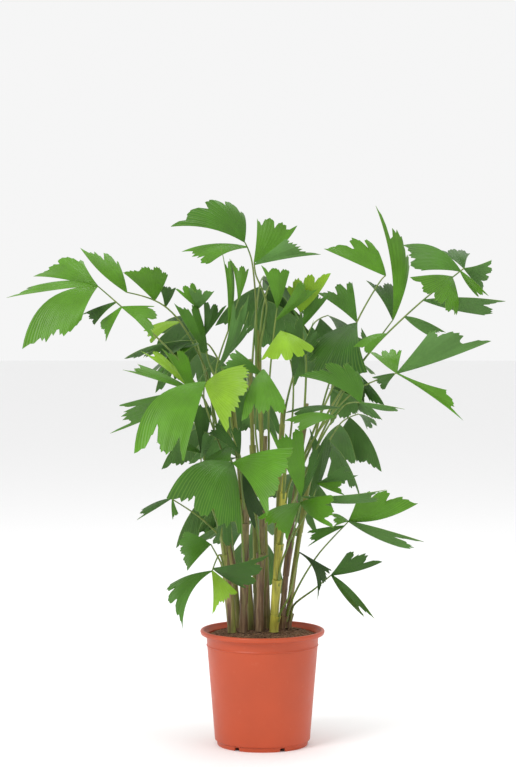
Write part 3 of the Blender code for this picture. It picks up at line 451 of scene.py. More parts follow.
def endRatio(short, across):
    # How far the blade reaches, as a share of its long edge: a drawn-out tail at the long edge,
    # then an outer edge that falls to the short one.
    inward = min(max(across, 0), 1)
    body = leaflet["bodyShare"]
    fall = 1 - min(short / body, 1)
    body *= 1 - fall * inward ** leaflet["slope"]
    tail = max(0, 1 - inward / leaflet["tailShare"])
    return body + (1 - body) * tail


def bladePoint(shape, out, across):
    # A point of the blade: out runs from the root to the outer edge, across from the long edge
    # to the short one.
    root, edge, normal, side, length, spread, short, bow = shape
    turn = math.radians(spread) * across
    reach = out * length * endRatio(short, across)
    arch = 4 * out * (1 - out)
    sign = 1 if spread > 0 else -1
    ahead = reach * math.cos(turn)
    aside = reach * math.sin(turn) + sign * leaflet["root"] * (across - 0.5)
    aside -= sign * arch * bow * length * (1 - across)
    middle = 1 - abs(2 * across - 1)
    lift = arch * leaflet["curl"] * length
    lift += leaflet["cup"] * (middle - 0.5) * abs(math.sin(turn * 0.5)) * reach
    return root + edge * ahead + side * aside + normal * lift


def twoLayers(bm, outs, strips):
    # A grid with a second layer under it, as each vertex with its column, its row and its layer.
    upper = bmesh.ops.create_grid(bm, x_segments=outs, y_segments=strips, size=0.5)["verts"]
    faces = list(dict.fromkeys(face for vert in upper for face in vert.link_faces))
    grown = bmesh.ops.extrude_face_region(bm, geom=faces, use_keep_orig=True)["geom"]
    lower = [item for item in grown if isinstance(item, bmesh.types.BMVert)]
    spots = {}
    for layer, verts in ((0.5, upper), (-0.5, lower)):
        for vert in verts:
            spots[vert] = (round((vert.co.x + 0.5) * outs), round((vert.co.y + 0.5) * strips), layer)
    return spots


def coarseBlade(shape, thickness):
    # A closed leaf blade, as a bmesh.
    length, spread = shape[4], abs(shape[5])
    outs = 3 if length > leaflet["large"] else 2
    strips = 5 if spread > leaflet["wide"] else 4 if spread > leaflet["narrow"] else 3
    if length < leaflet["small"]:
        strips = max(strips - 1, 2)
    bm = bmesh.new()
    for vert, (i, j, layer) in twoLayers(bm, outs, strips).items():
        out, across = i / outs, j / strips
        ahead = bladePoint(shape, out + 0.02, across) - bladePoint(shape, out - 0.02, across)
        aside = bladePoint(shape, max(out, 0.1), across + 0.02)
        aside -= bladePoint(shape, max(out, 0.1), across - 0.02)
        normal = ahead.cross(aside).normalized()
        vert.co = bladePoint(shape, out, across) + normal * layer * thickness
    return bm


# Tried in turn until a leaf is clear: shift in depth in cm, change of tilt, share of length.
nudges = [
    (0, 0, 1), (0, 14, 1), (0, -14, 1), (-2.5, 0, 1), (2.5, 0, 1), (-2.5, 16, 1), (2.5, -16, 1),
    (-5, 8, 1), (5, -8, 1), (-5, -20, 1), (5, 20, 1), (-8, 0, 1), (8, 0, 1), (-3, 10, 0.85),
    (3, -10, 0.85), (-8, 24, 0.9), (8, 24, 0.9), (-12, 0, 0.95), (12, 0, 0.95),
]


def settleLeaf(leaf, owner, placed):
    # The first nudge that leaves the blade clear of everything in place, or nothing.
    root, tip, spread, short, bow, tilt, facesUp = leaf
    for shift, turn, share in nudges:
        if facesUp:
            arm = Matrix.Rotation(math.radians(shift * 3), 3, "Z") @ (tip - root)
        else:
            arm = seen(tip[0], tip[1] + shift, tip[2]) - root
        end = root + arm * share
        length = (end - root).length
        shape = (root, *bladeFrame(root, end, tilt + turn, facesUp), length, spread, short, bow)
        thickness = max(leaflet["thickness"], length * leaflet["thicknessRatio"])
        if takenIn(placed, coarseBlade(shape, thickness + leaflet["swell"]), owner):
            return shape
    return None


sprayLeaf = {
    "seed": 41, "count": 4, "lengths": (11, 17), "spreads": (30, 66), "shorts": (0.55, 0.85),
    "droops": (15, 62), "tilts": (8, 40), "swings": (38, 66), "bow": 0.06,
}


def sprayTargets(cane, height, heading, reach, rise):
    start = canePoint(cane, height * cm)
    turn = math.radians(heading)
    out = Vector((math.cos(turn), math.sin(turn), 0)) * reach * cm
    up = Vector((0, 0, rise * cm))
    return [start + out * 0.3 + up * 0.55, start + out * 0.66 + up * 0.92, start + out + up]


def sprayLeaves(path, chance):
    # The leaves of a rear frond stand by turns on either side of its stalk, and one ends it.
    leaves = []
    for index in range(sprayLeaf["count"]):
        share = (index + 1) / sprayLeaf["count"]
        place = 1.9 + 2.1 * share
        root = pathAt(path, place)
        ahead = root - pathAt(path, place - 0.5)
        heading = math.atan2(ahead.y, ahead.x)
        hand = 1 if index % 2 else -1
        swing = math.radians(chance.uniform(*sprayLeaf["swings"])) * hand * (1 if share < 1 else 0.2)
        droop = math.radians(chance.uniform(*sprayLeaf["droops"]))
        length = chance.uniform(*sprayLeaf["lengths"]) * cm
        level = math.cos(droop) * length
        step = Vector((math.cos(heading + swing) * level, math.sin(heading + swing) * level, 0))
        step.z = -math.sin(droop) * length * (0.4 if share == 1 else 1)
        spread = chance.uniform(*sprayLeaf["spreads"]) * -hand
        short = chance.uniform(*sprayLeaf["shorts"])
        tilt = chance.uniform(*sprayLeaf["tilts"]) * hand
        leaves.append((root, root + step, spread, short, sprayLeaf["bow"], tilt, True))
    return leaves


def tableLeaves(rows, path):
    # Each leaf of a listed frond as (root, tip, spread, short, bow, tilt, facesUp). Its count starts
    # after the two points at the foot of the stalk.
    return [(pathAt(path, row[0] + 2), row[1:4], *row[4:], False) for row in rows]


def planFronds(placed):
    # Every frond as (name, cane, height, stalk path, leaf shapes), clear of the canes and each other.
    settled = []
    for name, (cane, height, *rest) in {**fronds, **sprays}.items():
        ends = [seen(*point) for point in rest[0]] if name in fronds else sprayTargets(cane, height, *rest)
        path = settleStalk(name, cane, height, ends, placed)
        if path:
            settled.append((name, cane, height, path))
    plans = []
    chance = random.Random(sprayLeaf["seed"])
    for name, cane, height, path in settled:
        leaves = tableLeaves(fronds[name][3], path) if name in fronds else sprayLeaves(path, chance)
        shapes = [settleLeaf(leaf, name, placed) for leaf in leaves]
        kept = [shape for shape in shapes if shape]
        if len(kept) < len(leaves):
            print(name, "leaves out", len(leaves) - len(kept), "of", len(leaves))
        if kept:
            plans.append((name, cane, height, path, kept))
    print("fronds:", len(plans))
    return plans


def newMaterial(name, roughness=0.5):
    material = bpy.data.materials.new(name)
    material.use_nodes = True
    tree = material.node_tree
    shader = tree.nodes["Principled BSDF"]
    shader.inputs["Roughness"].default_value = roughness
    return material, tree, shader


def addNode(tree, kind, entry, source, **inputs):
    # A node that reads a source at its entry, with other inputs set.
    node = tree.nodes.new("ShaderNode" + kind)
    for key, value in inputs.items():
        node.inputs[key].default_value = value
    tree.links.new(source, node.inputs[entry])
    return node


def addNoise(tree, scale, detail, fineness=0.5):
    # Noise in object space, at one scale or at one for each axis.
    place = tree.nodes.new("ShaderNodeTexCoord").outputs["Object"]
    if isinstance(scale, tuple):
        place = addNode(tree, "Mapping", "Vector", place, Scale=scale).outputs["Vector"]
        scale = 1
    grain = addNode(tree, "TexNoise", "Vector", place, Scale=scale, Detail=detail, Roughness=fineness)
    return grain.outputs["Fac"]


def addRamp(tree, value, stops):
    # A colour ramp over stops, each a place with a colour or a grey.
    ramp = addNode(tree, "ValToRGB", "Fac", value)
    elements = ramp.color_ramp.elements
    for index, (place, colour) in enumerate((stops[0], stops[-1], *stops[1:-1])):
        element = elements[index] if index < 2 else elements.new(place)
        element.position = place
        element.color = (*(colour if isinstance(colour, tuple) else (colour,) * 3), 1)
    return ramp.outputs["Color"]


def addMix(tree, share, first, second):
    # From the first colour to the second, which may be plain, by share.
    mix = addNode(tree, "Mix", "Factor", share)
    mix.data_type = "RGBA"
    tree.links.new(first, mix.inputs[6])
    if isinstance(second, tuple):
        mix.inputs[7].default_value = (*second, 1)
    else:
        tree.links.new(second, mix.inputs[7])
    return mix.outputs[2]


def addBump(tree, shader, height, strength, distance, under=None):
    bump = addNode(tree, "Bump", "Height", height, Strength=strength, Distance=distance)
    if under:
        tree.links.new(under, bump.inputs["Normal"])
    tree.links.new(bump.outputs["Normal"], shader.inputs["Normal"])
    return bump.outputs["Normal"]


def scaled(colour, share):
    return tuple(min(part * share, 1) for part in colour)


def mixed(first, second, share):
    return tuple(a + (b - a) * share for a, b in zip(first, second))


def grainMaterial(name, look):
    # One noise gives the colour and, where there is a bump, the relief.
    material, tree, shader = newMaterial(name, look["rough"])
    grain = addNoise(tree, look["scale"], look["detail"], look["fineness"])
    tree.links.new(addRamp(tree, grain, look["stops"]), shader.inputs["Base Color"])
    if look["bump"]:
        addBump(tree, shader, grain, look["bump"], look["relief"])
    return material


def finishPiece(name, bm, materials, nodes, sharp):
    bmesh.ops.recalc_face_normals(bm, faces=bm.faces)
    piece = addMesh(name, bm)
    piece.data.shade_smooth()
    piece.data.set_sharp_from_angle(angle=math.radians(sharp))
    for material in materials:
        piece.data.materials.append(material)
    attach(piece, "root")
    if nodes:
        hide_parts(*nodes)
    return piece


def spinProfile(bm, profile, steps):
    verts = [bm.verts.new((radius, 0, height)) for radius, height in profile]
    line = verts + [bm.edges.new(pair) for pair in zip(verts, verts[1:])]
    turn = {"cent": (0, 0, 0), "axis": (0, 0, 1), "angle": math.tau, "steps": steps}
    bmesh.ops.spin(bm, geom=line, use_merge=True, **turn)
    bmesh.ops.remove_doubles(bm, verts=bm.verts, dist=0.000005)


pot = {
    "height": 0.224, "rimRadius": 0.12, "rimBand": 0.01, "bodyTop": 0.1085, "bodyFoot": 0.092,
    "footRadius": 0.088, "footHeight": 0.0095, "stepDrop": 0.03, "wall": 0.0022,
    "floorRise": 0.0045, "padRadius": 0.032, "roll": 0.0038, "rollSteps": 13, "sides": 144,
    "notches": 6, "notchSize": (0.016, 0.013, 0.007),
    "notchTop": 0.72,  # its width at the top, as a share of the width at the foot
    "notchFirst": -64, "colour": (0.47, 0.062, 0.014), "dust": (0.66, 0.3, 0.18),
}


def wallRadius(height):
    # The body's outer radius, which narrows evenly from the rim band to the foot.
    share = (height - pot["footHeight"]) / (pot["height"] - pot["rimBand"] - pot["footHeight"])
    return pot["bodyFoot"] + (pot["bodyTop"] - pot["bodyFoot"]) * share


def potMaterial():
    material, tree, shader = newMaterial("terracottaPlastic")
    colour = pot["colour"]
    tones = [(0.25, scaled(colour, 0.9)), (0.75, scaled(colour, 1.08))]
    tone = addRamp(tree, addNoise(tree, 9, 3), tones)
    scuffs = addNoise(tree, 55, 5, 0.7)
    dust = addRamp(tree, scuffs, [(0.6, 0), (0.78, 0.1)])
    tree.links.new(addMix(tree, dust, tone, pot["dust"]), shader.inputs["Base Color"])
    tree.links.new(addRamp(tree, scuffs, [(0.3, 0.36), (0.75, 0.5)]), shader.inputs["Roughness"])
    addBump(tree, shader, addNoise(tree, 900, 2), 0.12, 0.0003)
    return material


def potProfile():
    # From the inner side of the rolled lip over the outside, the underside and the inside, and back.
    height = pot["height"]
    rim = pot["rimRadius"]
    roll = pot["roll"]
    band = height - pot["rimBand"]
    step = height - pot["stepDrop"]
    foot = pot["footRadius"]
    low = pot["footHeight"]
    inside = pot["floorRise"] + pot["wall"]
    profile = []
    for index in range(pot["rollSteps"]):
        angle = math.radians(175 - index * 14.6)
        profile.append((rim - roll + roll * math.cos(angle), height - roll + roll * math.sin(angle)))
    profile += [(rim - 0.0006, band + 0.0036), (rim - 0.0016, band + 0.001), (rim - 0.0034, band)]
    # The outside: a level of the wall, how far above it and how far out of it.
    outside = [
        (band, -0.0002, 0.0022), (band, -0.0022, 0.0006), (band - 0.005, 0, 0),
        (step + 0.0022, 0, 0), (step, 0.0005, 0.0013), (step, -0.0004, 0.0014),
        (step - 0.002, 0, 0.0001), (0.12, 0, 0), (0.05, 0, 0), (low + 0.004, 0, 0),
    ]
    profile += [(wallRadius(level) + out, level + up) for level, up, out in outside]
    profile += [
        (pot["bodyFoot"] - 0.0002, low + 0.0012), (pot["bodyFoot"] - 0.0014, low),
        (foot, low - 0.0012), (foot - 0.0005, 0.0012), (foot - 0.0012, 0),
        (foot - 0.0036, 0), (foot - 0.005, pot["floorRise"]),
        (pot["padRadius"] + 0.006, pot["floorRise"]), (pot["padRadius"], 0), (0, 0),
        (0, inside), (foot - 0.008, inside), (pot["bodyFoot"] - pot["wall"], low + 0.003),
        (wallRadius(step) - pot["wall"], step), (wallRadius(band) - pot["wall"], band),
        (rim - roll * 2 - 0.001, height - 0.0052), profile[0],
    ]
    return profile


def buildPot():
    bm = bmesh.new()
    spinProfile(bm, potProfile(), pot["sides"])
    piece = finishPiece("potShell", bm, [potMaterial()], ["pot"], 32)
    depth, width, height = pot["notchSize"]
    for index in range(pot["notches"]):
        # A drain notch is cut through the foot ring by a box that narrows upward.
        bm = bmesh.new()
        bmesh.ops.create_cube(bm, size=1)
        for vert in bm.verts:
            vert.co.y *= width * (pot["notchTop"] if vert.co.z > 0 else 1)
            vert.co.x *= depth
            vert.co.z = height if vert.co.z > 0 else -0.003
        turn = Matrix.Rotation(math.radians(pot["notchFirst"] + index * 360 / pot["notches"]), 4, "Z")
        place = turn @ Matrix.Translation((pot["footRadius"], 0, 0))
        bmesh.ops.transform(bm, matrix=place, verts=bm.verts)
        cutter = addMesh("notch", bm)
        cut = piece.modifiers.new("notch", "BOOLEAN")
        cut.operation = "DIFFERENCE"
        cut.object = cutter
        graph = bpy.context.evaluated_depsgraph_get()
        carved = bpy.data.meshes.new_from_object(piece.evaluated_get(graph))
        piece.modifiers.clear()
        piece.data = carved
        bpy.data.objects.remove(cutter)
    print("pot: one shell with", pot["notches"], "drain notches")


soilLook = {"scale": 180, "detail": 6, "fineness": 0.7, "rough": 0.93, "bump": 0.9, "relief": 0.0022}


def soilMaterial(name, dark, light):
    stops = [(0.32, dark), (0.55, mixed(dark, light, 0.5)), (0.74, light)]
    return grainMaterial(name, {**soilLook, "stops": stops})


def soilHeight(x, y):
    radius = math.hypot(x, y)
    fall = (radius - soil["crownRadius"]) / (wallRadius(soil["edge"]) - soil["crownRadius"])
    base = soil["crown"] - (soil["crown"] - soil["edge"]) * min(max(fall, 0), 1)
    rough = noise.fractal(Vector((x * soil["lumps"], y * soil["lumps"], 0.3)), 0.9, 2.1, 4)
    return base - 0.0012 + rough * soil["relief"]


def soilSpot(chance, reach):
    # A random place, even over the soil's disc.
    radius = reach * math.sqrt(chance.random())
    angle = chance.random() * math.tau
    return radius * math.cos(angle), radius * math.sin(angle)


def buildSoil():
    outer = wallRadius(soil["edge"]) - pot["wall"] - 0.0004
    bm = bmesh.new()
    profile = [(outer * index / soil["rings"], 0) for index in range(soil["rings"] + 1)]
    spinProfile(bm, profile, soil["sides"])
    for vert in bm.verts:
        vert.co.z = soilHeight(vert.co.x, vert.co.y)
    rim = [edge for edge in bm.edges if len(edge.link_faces) == 1]
    grown = bmesh.ops.extrude_edge_only(bm, edges=rim)["geom"]
    low = [item for item in grown if isinstance(item, bmesh.types.BMVert)]
    for vert in low:
        # Narrower at the foot, so that it stays inside the pot's wall.
        vert.co.x *= 0.93
        vert.co.y *= 0.93
        vert.co.z = soil["foot"]
    bmesh.ops.contextual_create(bm, geom=low)
    mix = soilMaterial("pottingMix", (0.045, 0.02, 0.009), (0.3, 0.15, 0.07))
    finishPiece("soilBed", bm, [mix], ["soil"], 80)
    chance = random.Random(soil["seed"])
    bm = bmesh.new()
    for index in range(soil["crumbs"]):
        x, y = soilSpot(chance, outer * 0.985)
        size = chance.uniform(*soil["crumbSizes"])
        crumb = bmesh.ops.create_icosphere(bm, subdivisions=1, radius=size)["verts"]
        for vert in crumb:
            vert.co *= chance.uniform(0.75, 1.2)
        turn = Matrix.Rotation(chance.random() * math.tau, 4, "Z")
        turn = turn @ Matrix.Diagonal((chance.uniform(0.8, 1.8), 1, 0.65, 1))
        place = Matrix.Translation((x, y, soilHeight(x, y) + size * 0.2))
        bmesh.ops.transform(bm, matrix=place @ turn, verts=crumb)
    crumbs = soilMaterial("barkCrumbs", (0.03, 0.014, 0.007), (0.3, 0.165, 0.08))
    finishPiece("soilCrumbs", bm, [crumbs], (), 30)
    bm = bmesh.new()
    for index in range(soil["fibres"]):
        x, y = soilSpot(chance, outer * 0.95)
        heading = chance.random() * math.tau
        length = chance.uniform(*soil["fibreLengths"])
        bend = chance.uniform(-0.5, 0.5)
        points = []
        for step in range(len(soil["fibreRadii"])):
            share = step / 3 - 0.5
            turn = heading + bend * share
            px = x + math.cos(turn) * length * share
            py = y + math.sin(turn) * length * share
            if math.hypot(px, py) > outer - 0.001:
                px, py = px * 0.9, py * 0.9
            arch = (1 - 4 * share * share) * chance.random()
            points.append(Vector((px, py, soilHeight(px, py) + 0.0009 + 0.0012 * arch)))
        ringTube(bm, points, soil["fibreRadii"], 4)
    fibres = soilMaterial("coirFibres", (0.12, 0.06, 0.028), (0.46, 0.3, 0.17))
    finishPiece("soilFibres", bm, [fibres], (), 60)
    print("soil: bed, crumbs and fibres")


def ringTube(bm, points, radii, sides, shapeRing=None):
    # A closed tube with one ring of points for each place, grown by extruding a disc.
    ring = bmesh.ops.create_circle(bm, cap_ends=True, segments=sides, radius=1)["verts"]
    face = ring[0].link_faces[0]
    last = len(points) - 1
    for index, (point, radius) in enumerate(zip(points, radii)):
        ahead = (points[min(index + 1, last)] - points[max(index - 1, 0)]).normalized()
        across = Vector((1, 0, 0)) if abs(ahead.x) < 0.8 else Vector((0, 0, 1))
        first = (across - ahead * across.dot(ahead)).normalized()
        second = ahead.cross(first)
        for number, vert in enumerate(ring):
            angle = math.tau * number / sides
            size = radius * shapeRing(index / last, angle) if shapeRing else radius
            vert.co = point + (first * math.cos(angle) + second * math.sin(angle)) * size
        if index < last:
            grown = bmesh.ops.extrude_face_region(bm, geom=[face], use_keep_orig=index == 0)["geom"]
            face = next(item for item in grown if isinstance(item, bmesh.types.BMFace))
            fresh = [item for item in grown if isinstance(item, bmesh.types.BMVert)]
            ring = [min(fresh, key=lambda item: (item.co - vert.co).length) for vert in ring]


caneLook = {
    "sides": 20, "ringsPerMetre": 190, "size": 0.97,
    "joint": 0.052,  # from one joint to the next
    "jointShift": 0.013, "lip": 0.07, "rough": 0.05, "fibre": 0.035, "streaks": (170, 170, 9),
    "patches": (70, 70, 7),
    "fade": 0.26,  # height over which the sheaths thin out
    "fadeShare": 0.34,
}
# The canes' own colour and how much of it the brown sheaths cover.
caneGreens = {
    "caneGreen": ((0.19, 0.215, 0.035), 0.46),
    "caneYellow": ((0.42, 0.4, 0.05), 0.2),
    "caneBrown": ((0.17, 0.15, 0.045), 0.62),
}
caneKinds = {
    "bright": "caneYellow", "left_mid": "caneBrown", "centre": "caneBrown", "right": "caneBrown",
}
sheath = {"below": 0.055, "above": 0.012, "steps": 9, "sides": 14, "lean": 0.34, "flare": 0.3, "skin": 0.0005}


def caneMaterial(name, green, cover):
    # Yellow-green cane under brown fibrous sheaths, which thin out upward.
    material, tree, shader = newMaterial(name, 0.52)
    streaks = addNoise(tree, caneLook["streaks"], 5, 0.62)
    place = tree.nodes.new("ShaderNodeTexCoord").outputs["Object"]
    split = addNode(tree, "SeparateXYZ", "Vector", place)
    levels = {"From Min": soil["crown"], "From Max": soil["crown"] + caneLook["fade"]}
    levels.update({"To Min": cover, "To Max": cover - caneLook["fadeShare"]})
    height = addNode(tree, "MapRange", "Value", split.outputs["Z"], **levels)
    total = addNode(tree, "Math", 0, addNoise(tree, caneLook["patches"], 2))
    total.operation = "ADD"
    tree.links.new(height.outputs["Result"], total.inputs[1])
    browns = [(0.3, (0.045, 0.02, 0.01)), (0.5, (0.15, 0.085, 0.04)), (0.72, (0.4, 0.29, 0.15))]
    greens = [(0.3, scaled(green, 0.55)), (0.52, green), (0.75, scaled(green, 1.45))]
    share = addRamp(tree, total.outputs["Value"], [(0.8, 0), (1, 1)])
    colour = addMix(tree, share, addRamp(tree, streaks, greens), addRamp(tree, streaks, browns))
    tree.links.new(colour, shader.inputs["Base Color"])
    addBump(tree, shader, streaks, 0.7, 0.0018)
    return material


def caneSwell(rise, number, share, angle):
    # Joints with a lip, a rough skin with fibres along it and a thicker foot, as a share of the radius.
    place = (share * rise + caneLook["jointShift"] * number) / caneLook["joint"]
    lip = max(0, 1 - (place - math.floor(place)) * 7) * caneLook["lip"]
    x, y, z = math.cos(angle), math.sin(angle), share * rise
    rough = noise.noise(Vector((x * 2.3, y * 2.3, z * 22 + number * 9))) * caneLook["rough"]
    strand = noise.noise(Vector((x * 7, y * 7, z * 9 + number))) * caneLook["fibre"]
    foot = 1 + 0.2 * max(0, 1 - share * 7)
    return (0.94 + lip + rough + strand) * min(foot, 1.12)


def addSheath(bm, cane, height, root):
    # A sheath wraps the cane below a joint and reaches over to the root of the stalk.
    low = max(height - sheath["below"], soil["crown"] + 0.004)
    high = min(height + sheath["above"], canes[cane][1][2] * cm - 0.002)
    lean = root - canePoint(cane, height)
    lean.z = 0
    points = []
    sizes = []
    for index in range(sheath["steps"] + 1):
        share = index / sheath["steps"]
        level = low + (high - low) * share
        points.append(canePoint(cane, level) + lean * sheath["lean"] * share ** 2)
        sizes.append(caneRadius(cane, level) * (1 + sheath["flare"] * share ** 1.5) + sheath["skin"])
    ringTube(bm, points, sizes, sheath["sides"])


def buildCanes(plans):
    for kind, (green, cover) in caneGreens.items():
        bm = bmesh.new()
        names = [name for name in canes if caneKinds.get(name, "caneGreen") == kind]
        for number, name in enumerate(names):
            rise = canes[name][1][2] * cm - soil["crown"] - clearance
            points, radii = caneLine(name, int(rise * caneLook["ringsPerMetre"]))
            radii = [radius * caneLook["size"] for radius in radii]
            ringTube(bm, points, radii, caneLook["sides"], partial(caneSwell, rise, number))
        for _, cane, height, path, _ in plans:
            if cane in names:
                addSheath(bm, cane, height * cm, path[0])
        nodes = ["cane_" + name for name in names]
        finishPiece(kind + "Stems", bm, [caneMaterial(kind, green, cover)], nodes, 60)
    print("canes:", len(canes))


stalkLook = {
    "scale": (60, 60, 8), "detail": 4, "fineness": 0.5, "rough": 0.42, "bump": 0.25,
    "relief": 0.0006,
    "stops": [(0.3, (0.075, 0.15, 0.016)), (0.55, (0.15, 0.215, 0.03)), (0.75, (0.24, 0.25, 0.07))],
}


def buildStalks(plans):
    bm = bmesh.new()
    for *_, path, _ in plans:
        fine = smoothPath(path, 3)
        radii = taper(stalk["radius"] * stalk["rootSize"], stalk["tipRadius"] * stalk["tipSize"], fine)
        ringTube(bm, fine, radii, stalk["sides"])
    finishPiece("frondStalks", bm, [grainMaterial("stalkGreen", stalkLook)], (), 70)
    print("stalks:", len(plans))


# Greens dealt out by leaf: slot, colour of the blade, how pale its ribs are and how dull it is.
# The young green is the leaves' own. The other four are lit and shaded copies of one green, which is painted
# light and shade.
leafLooks = {
    "leafYoung": ("leaf_bright", (0.175, 0.34, 0.004), 0.34, 0.34),
    "leafBright": ("leaf_bright", (0.062, 0.205, 0.002), 0.3, 0.32),
    "leafFreshLit": ("leaf_mid", (0.034, 0.135, 0.002), 0.28, 0.34),
    "leafMid": ("leaf_mid", (0.016, 0.08, 0.002), 0.26, 0.35),
    "leafDeep": ("leaf_deep", (0.006, 0.036, 0.002), 0.22, 0.36),
}
underLook = ((0.062, 0.165, 0.03), 0.2, 0.52)
edgeLook = {
    "scale": 60, "detail": 2, "fineness": 0.5, "rough": 0.55, "bump": 0,
    "stops": [(0.35, (0.22, 0.32, 0.05)), (0.62, (0.13, 0.24, 0.03)), (0.75, (0.16, 0.1, 0.04))],
}
# What a fine blade adds to the plain one: teeth and lobes cut into the outer edge, pleats along the
# ribs, a wave and a fold.
fineLeaf = {
    "outs": 13, "strips": 14, "stripsPerDegree": 0.42, "stripsMost": 46, "teethPerDegree": 0.11,
    "teethLeast": 5, "toothDepth": 0.085, "lobeDepth": 0.2, "pleatsPerDegree": 0.11,
    "pleat": 0.0036, "wave": 0.03, "thickness": 0.0006, "youngShare": 0.07,
    "turned": -0.25,  # below this a blade's normal counts as facing down
    "seed": 23,
}


def leafMaterial(name, colour, rib, rough):
    # Ribs fan out with the blade: U runs from the root outward and V from edge to edge.
    material, tree, shader = newMaterial(name)
    uv = tree.nodes.new("ShaderNodeUVMap").outputs["UV"]
    fan = addNode(tree, "Mapping", "Vector", uv, Scale=(0.6, 1, 1)).outputs["Vector"]
    ribs = addNode(tree, "TexWave", "Vector", fan, Scale=9, Distortion=1.6, Detail=2)
    fine = addNode(tree, "TexWave", "Vector", fan, Scale=34, Distortion=2.4, Detail=1)
    ribs.bands_direction = fine.bands_direction = "Y"
    patches = addNoise(tree, 13, 3, 0.6)
    lighter = mixed(colour, (0.3, 0.46, 0.07), rib)
    tones = [(0.3, scaled(colour, 0.72)), (0.52, colour), (0.72, scaled(colour, 1.35))]
    tone = addRamp(tree, patches, tones)
    tone = addMix(tree, addRamp(tree, ribs.outputs["Fac"], [(0.62, 0), (0.97, 0.55)]), tone, lighter)
    tone = addMix(tree, addRamp(tree, fine.outputs["Fac"], [(0.4, 0), (1, 0.22)]), tone, lighter)
    tree.links.new(tone, shader.inputs["Base Color"])
    gloss = addRamp(tree, patches, [(0.2, rough - 0.06), (0.8, rough + 0.16)])
    tree.links.new(gloss, shader.inputs["Roughness"])
    shader.inputs["Specular IOR Level"].default_value = 0.34
    low = addBump(tree, shader, ribs.outputs["Fac"], 0.35, 0.0008)
    addBump(tree, shader, fine.outputs["Fac"], 0.2, 0.0003, low)
    return material


def leafLook(chance, spread):
    teeth = fineLeaf["teethLeast"] + abs(spread) * fineLeaf["teethPerDegree"]
    return {
        "teeth": teeth * chance.uniform(0.85, 1.2), "toothShift": chance.random(),
        "toothDepth": fineLeaf["toothDepth"] * chance.uniform(0.6, 1.4),
        "lobes": 1 + abs(spread) / chance.uniform(22, 34), "lobeShift": chance.random(),
        "lobeDepth": fineLeaf["lobeDepth"] * chance.uniform(0.3, 1.3),
        "pleats": 4 + abs(spread) * fineLeaf["pleatsPerDegree"],
        "pleatShift": chance.random() * math.tau,
        "pleat": fineLeaf["pleat"] * chance.uniform(0.7, 1.3),
        "wave": fineLeaf["wave"] * chance.uniform(-1, 1),
        "waveShift": chance.random() * math.tau, "fold": chance.uniform(-0.02, 0.05),
        "salt": chance.random() * 40,
    }


def edgeCut(look, across):
    # The share of the blade's reach that the teeth and lobes take away.
    count = across * look["teeth"] + look["toothShift"]
    step = count - math.floor(count)
    size = 0.45 + 0.55 * math.sin(math.floor(count) * 12.9898 + look["salt"]) ** 2
    lobe = across * look["lobes"] + look["lobeShift"]
    inward = 1 - abs(2 * (lobe - math.floor(lobe)) - 1)
    cut = look["toothDepth"] * size * step + look["lobeDepth"] * inward ** 3
    tail = max(0, 1 - across / leaflet["tailShare"])
    return cut * (1 - tail)


def finePoint(shape, look, out, across):
    length, normal = shape[4], shape[2]
    kept = 1 - edgeCut(look, across) * out * out
    span = min(abs(shape[5]) / 40, 1)
    pleat = math.sin(math.tau * look["pleats"] * across + look["pleatShift"]) * look["pleat"] * length
    wave = math.sin(out * 5.2 + across * 4 + look["waveShift"]) * look["wave"] * length * out
    fold = look["fold"] * length * out * abs(2 * across - 1)
    lift = pleat * out * (0.35 + 0.65 * span) + wave * span - fold
    return bladePoint(shape, out * kept, across) + normal * lift


def fineBlade(bm, shape, look):
    # A closed blade of two layers, with the upper side, the underside and the edge in their own slots.
    outs = fineLeaf["outs"]
    strips = fineLeaf["strips"] + abs(shape[5]) * fineLeaf["stripsPerDegree"]
    strips = int(min(strips, fineLeaf["stripsMost"]))
    spots = twoLayers(bm, outs, strips)
    points = {}
    for i, j in itertools.product(range(outs + 1), range(strips + 1)):
        points[i, j] = finePoint(shape, look, i / outs, j / strips)
    for vert, (i, j, layer) in spots.items():
        near = max(i, 1)
        ahead = points[min(near + 1, outs), j] - points[near - 1, j]
        aside = points[near, min(j + 1, strips)] - points[near, max(j - 1, 0)]
        normal = ahead.cross(aside).normalized()
        if normal.dot(shape[2]) < 0:
            normal.negate()
        vert.co = points[i, j] + normal * layer * fineLeaf["thickness"]
    slot = 0 if shape[2].z >= fineLeaf["turned"] else 1
    uvLayer = bm.loops.layers.uv["UVMap"]
    for face in {face for vert in spots for face in vert.link_faces}:
        layers = {spots[vert][2] for vert in face.verts}
        face.material_index = 2 if len(layers) == 2 else slot if layers == {0.5} else 1 - slot
        for loop in face.loops:
            i, j, layer = spots[loop.vert]
            loop[uvLayer].uv = (i / outs, j / strips)


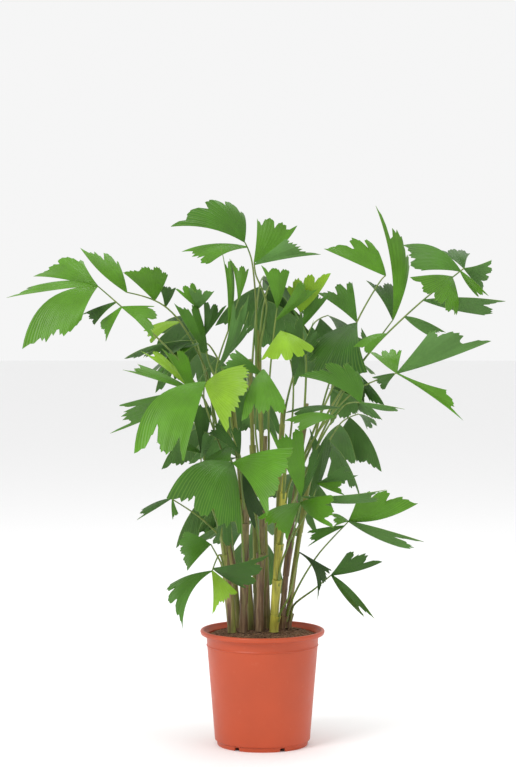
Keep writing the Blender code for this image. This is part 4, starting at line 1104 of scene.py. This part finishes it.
def buildLeaves(plans):
    chance = random.Random(fineLeaf["seed"])
    names = list(leafLooks)
    heaps = {name: bmesh.new() for name in names}
    for heap in heaps.values():
        heap.loops.layers.uv.new("UVMap")
    shapes = [shape for *_, kept in plans for shape in kept]
    for shape in shapes:
        tip = shape[0] + shape[1] * shape[4]
        # Painted light and shade: leaves at the front and the top get lighter greens, and those inside and at
        # the back get deeper ones. A random share of real tone is added on top.
        light = 0.46 - tip.y * 1.1 + (tip.z - 0.65) * 0.55 + chance.uniform(-0.3, 0.3)
        index = min(max(int((1 - light) * len(names)), 1), len(names) - 1)
        if chance.random() < fineLeaf["youngShare"]:
            index = 0
        fineBlade(heaps[names[index]], shape, leafLook(chance, shape[5]))
    under = leafMaterial("leafUnder", *underLook)
    edge = grainMaterial("leafEdge", edgeLook)
    for name, (slot, *look) in leafLooks.items():
        nodes = ["frond_" + plan[0] for plan in plans] if name == "leafBright" else ()
        materials = [leafMaterial(name, *look), under, edge]
        finishPiece(name + "Blades", heaps[name], materials, nodes, 60)
    print("leaf blades:", len(shapes))


# A pale floor under a white sky, and soft lights: each one's place, aim, size and power.
studio = {
    "floor": 14,
    "paleness": 0.93,
    "sky": 0.92,
    "lights": {
        "keyLight": ((-2.2, -2.6, 3.2), (0, 0, 0.6), 1.6, 84),
        "fillLight": ((2.8, -2.4, 2.2), (0, 0, 0.5), 2, 10),
        "topLight": ((0.3, 1.2, 3.4), (0, 0, 0.7), 1.6, 34),
    },
}


def buildCamera():
    eye = Vector((0, -sight["distance"], sight["height"]))
    aim = Vector(sight["aim"]) - eye
    data = bpy.data.cameras.new("camera")
    data.sensor_fit = "VERTICAL"
    data.sensor_height = sight["sensor"]
    data.lens = sight["sensor"] * aim.length / sight["frame"]
    data.clip_end = 60
    camera = addObject("camera", data)
    camera.location = eye
    camera.rotation_euler = aim.to_track_quat("-Z", "Y").to_euler()
    bpy.context.scene.camera = camera


def buildStudio():
    bm = bmesh.new()
    bmesh.ops.create_grid(bm, x_segments=1, y_segments=1, size=studio["floor"])
    floor = addMesh("studioFloor", bm)
    material, tree, shader = newMaterial("paleFloor", 0.9)
    shader.inputs["Base Color"].default_value = (*(studio["paleness"],) * 3, 1)
    floor.data.materials.append(material)
    world = bpy.data.worlds.new("studio")
    bpy.context.scene.world = world
    world.use_nodes = True
    sky = world.node_tree.nodes["Background"]
    sky.inputs["Color"].default_value = (1, 1, 1, 1)
    sky.inputs["Strength"].default_value = studio["sky"]
    for name, (place, aim, size, power) in studio["lights"].items():
        data = bpy.data.lights.new(name, "AREA")
        data.shape = "SQUARE"
        data.size = size
        data.energy = power
        light = addObject(name, data)
        light.location = place
        light.rotation_euler = (Vector(aim) - Vector(place)).to_track_quat("-Z", "Y").to_euler()
    bpy.context.scene.view_settings.view_transform = "Standard"
    print("studio: floor, sky and", len(studio["lights"]), "lights")


buildCamera()
buildStudio()
plans = planFronds(placeCanes())
buildPot()
buildSoil()
buildCanes(plans)
buildStalks(plans)
buildLeaves(plans)
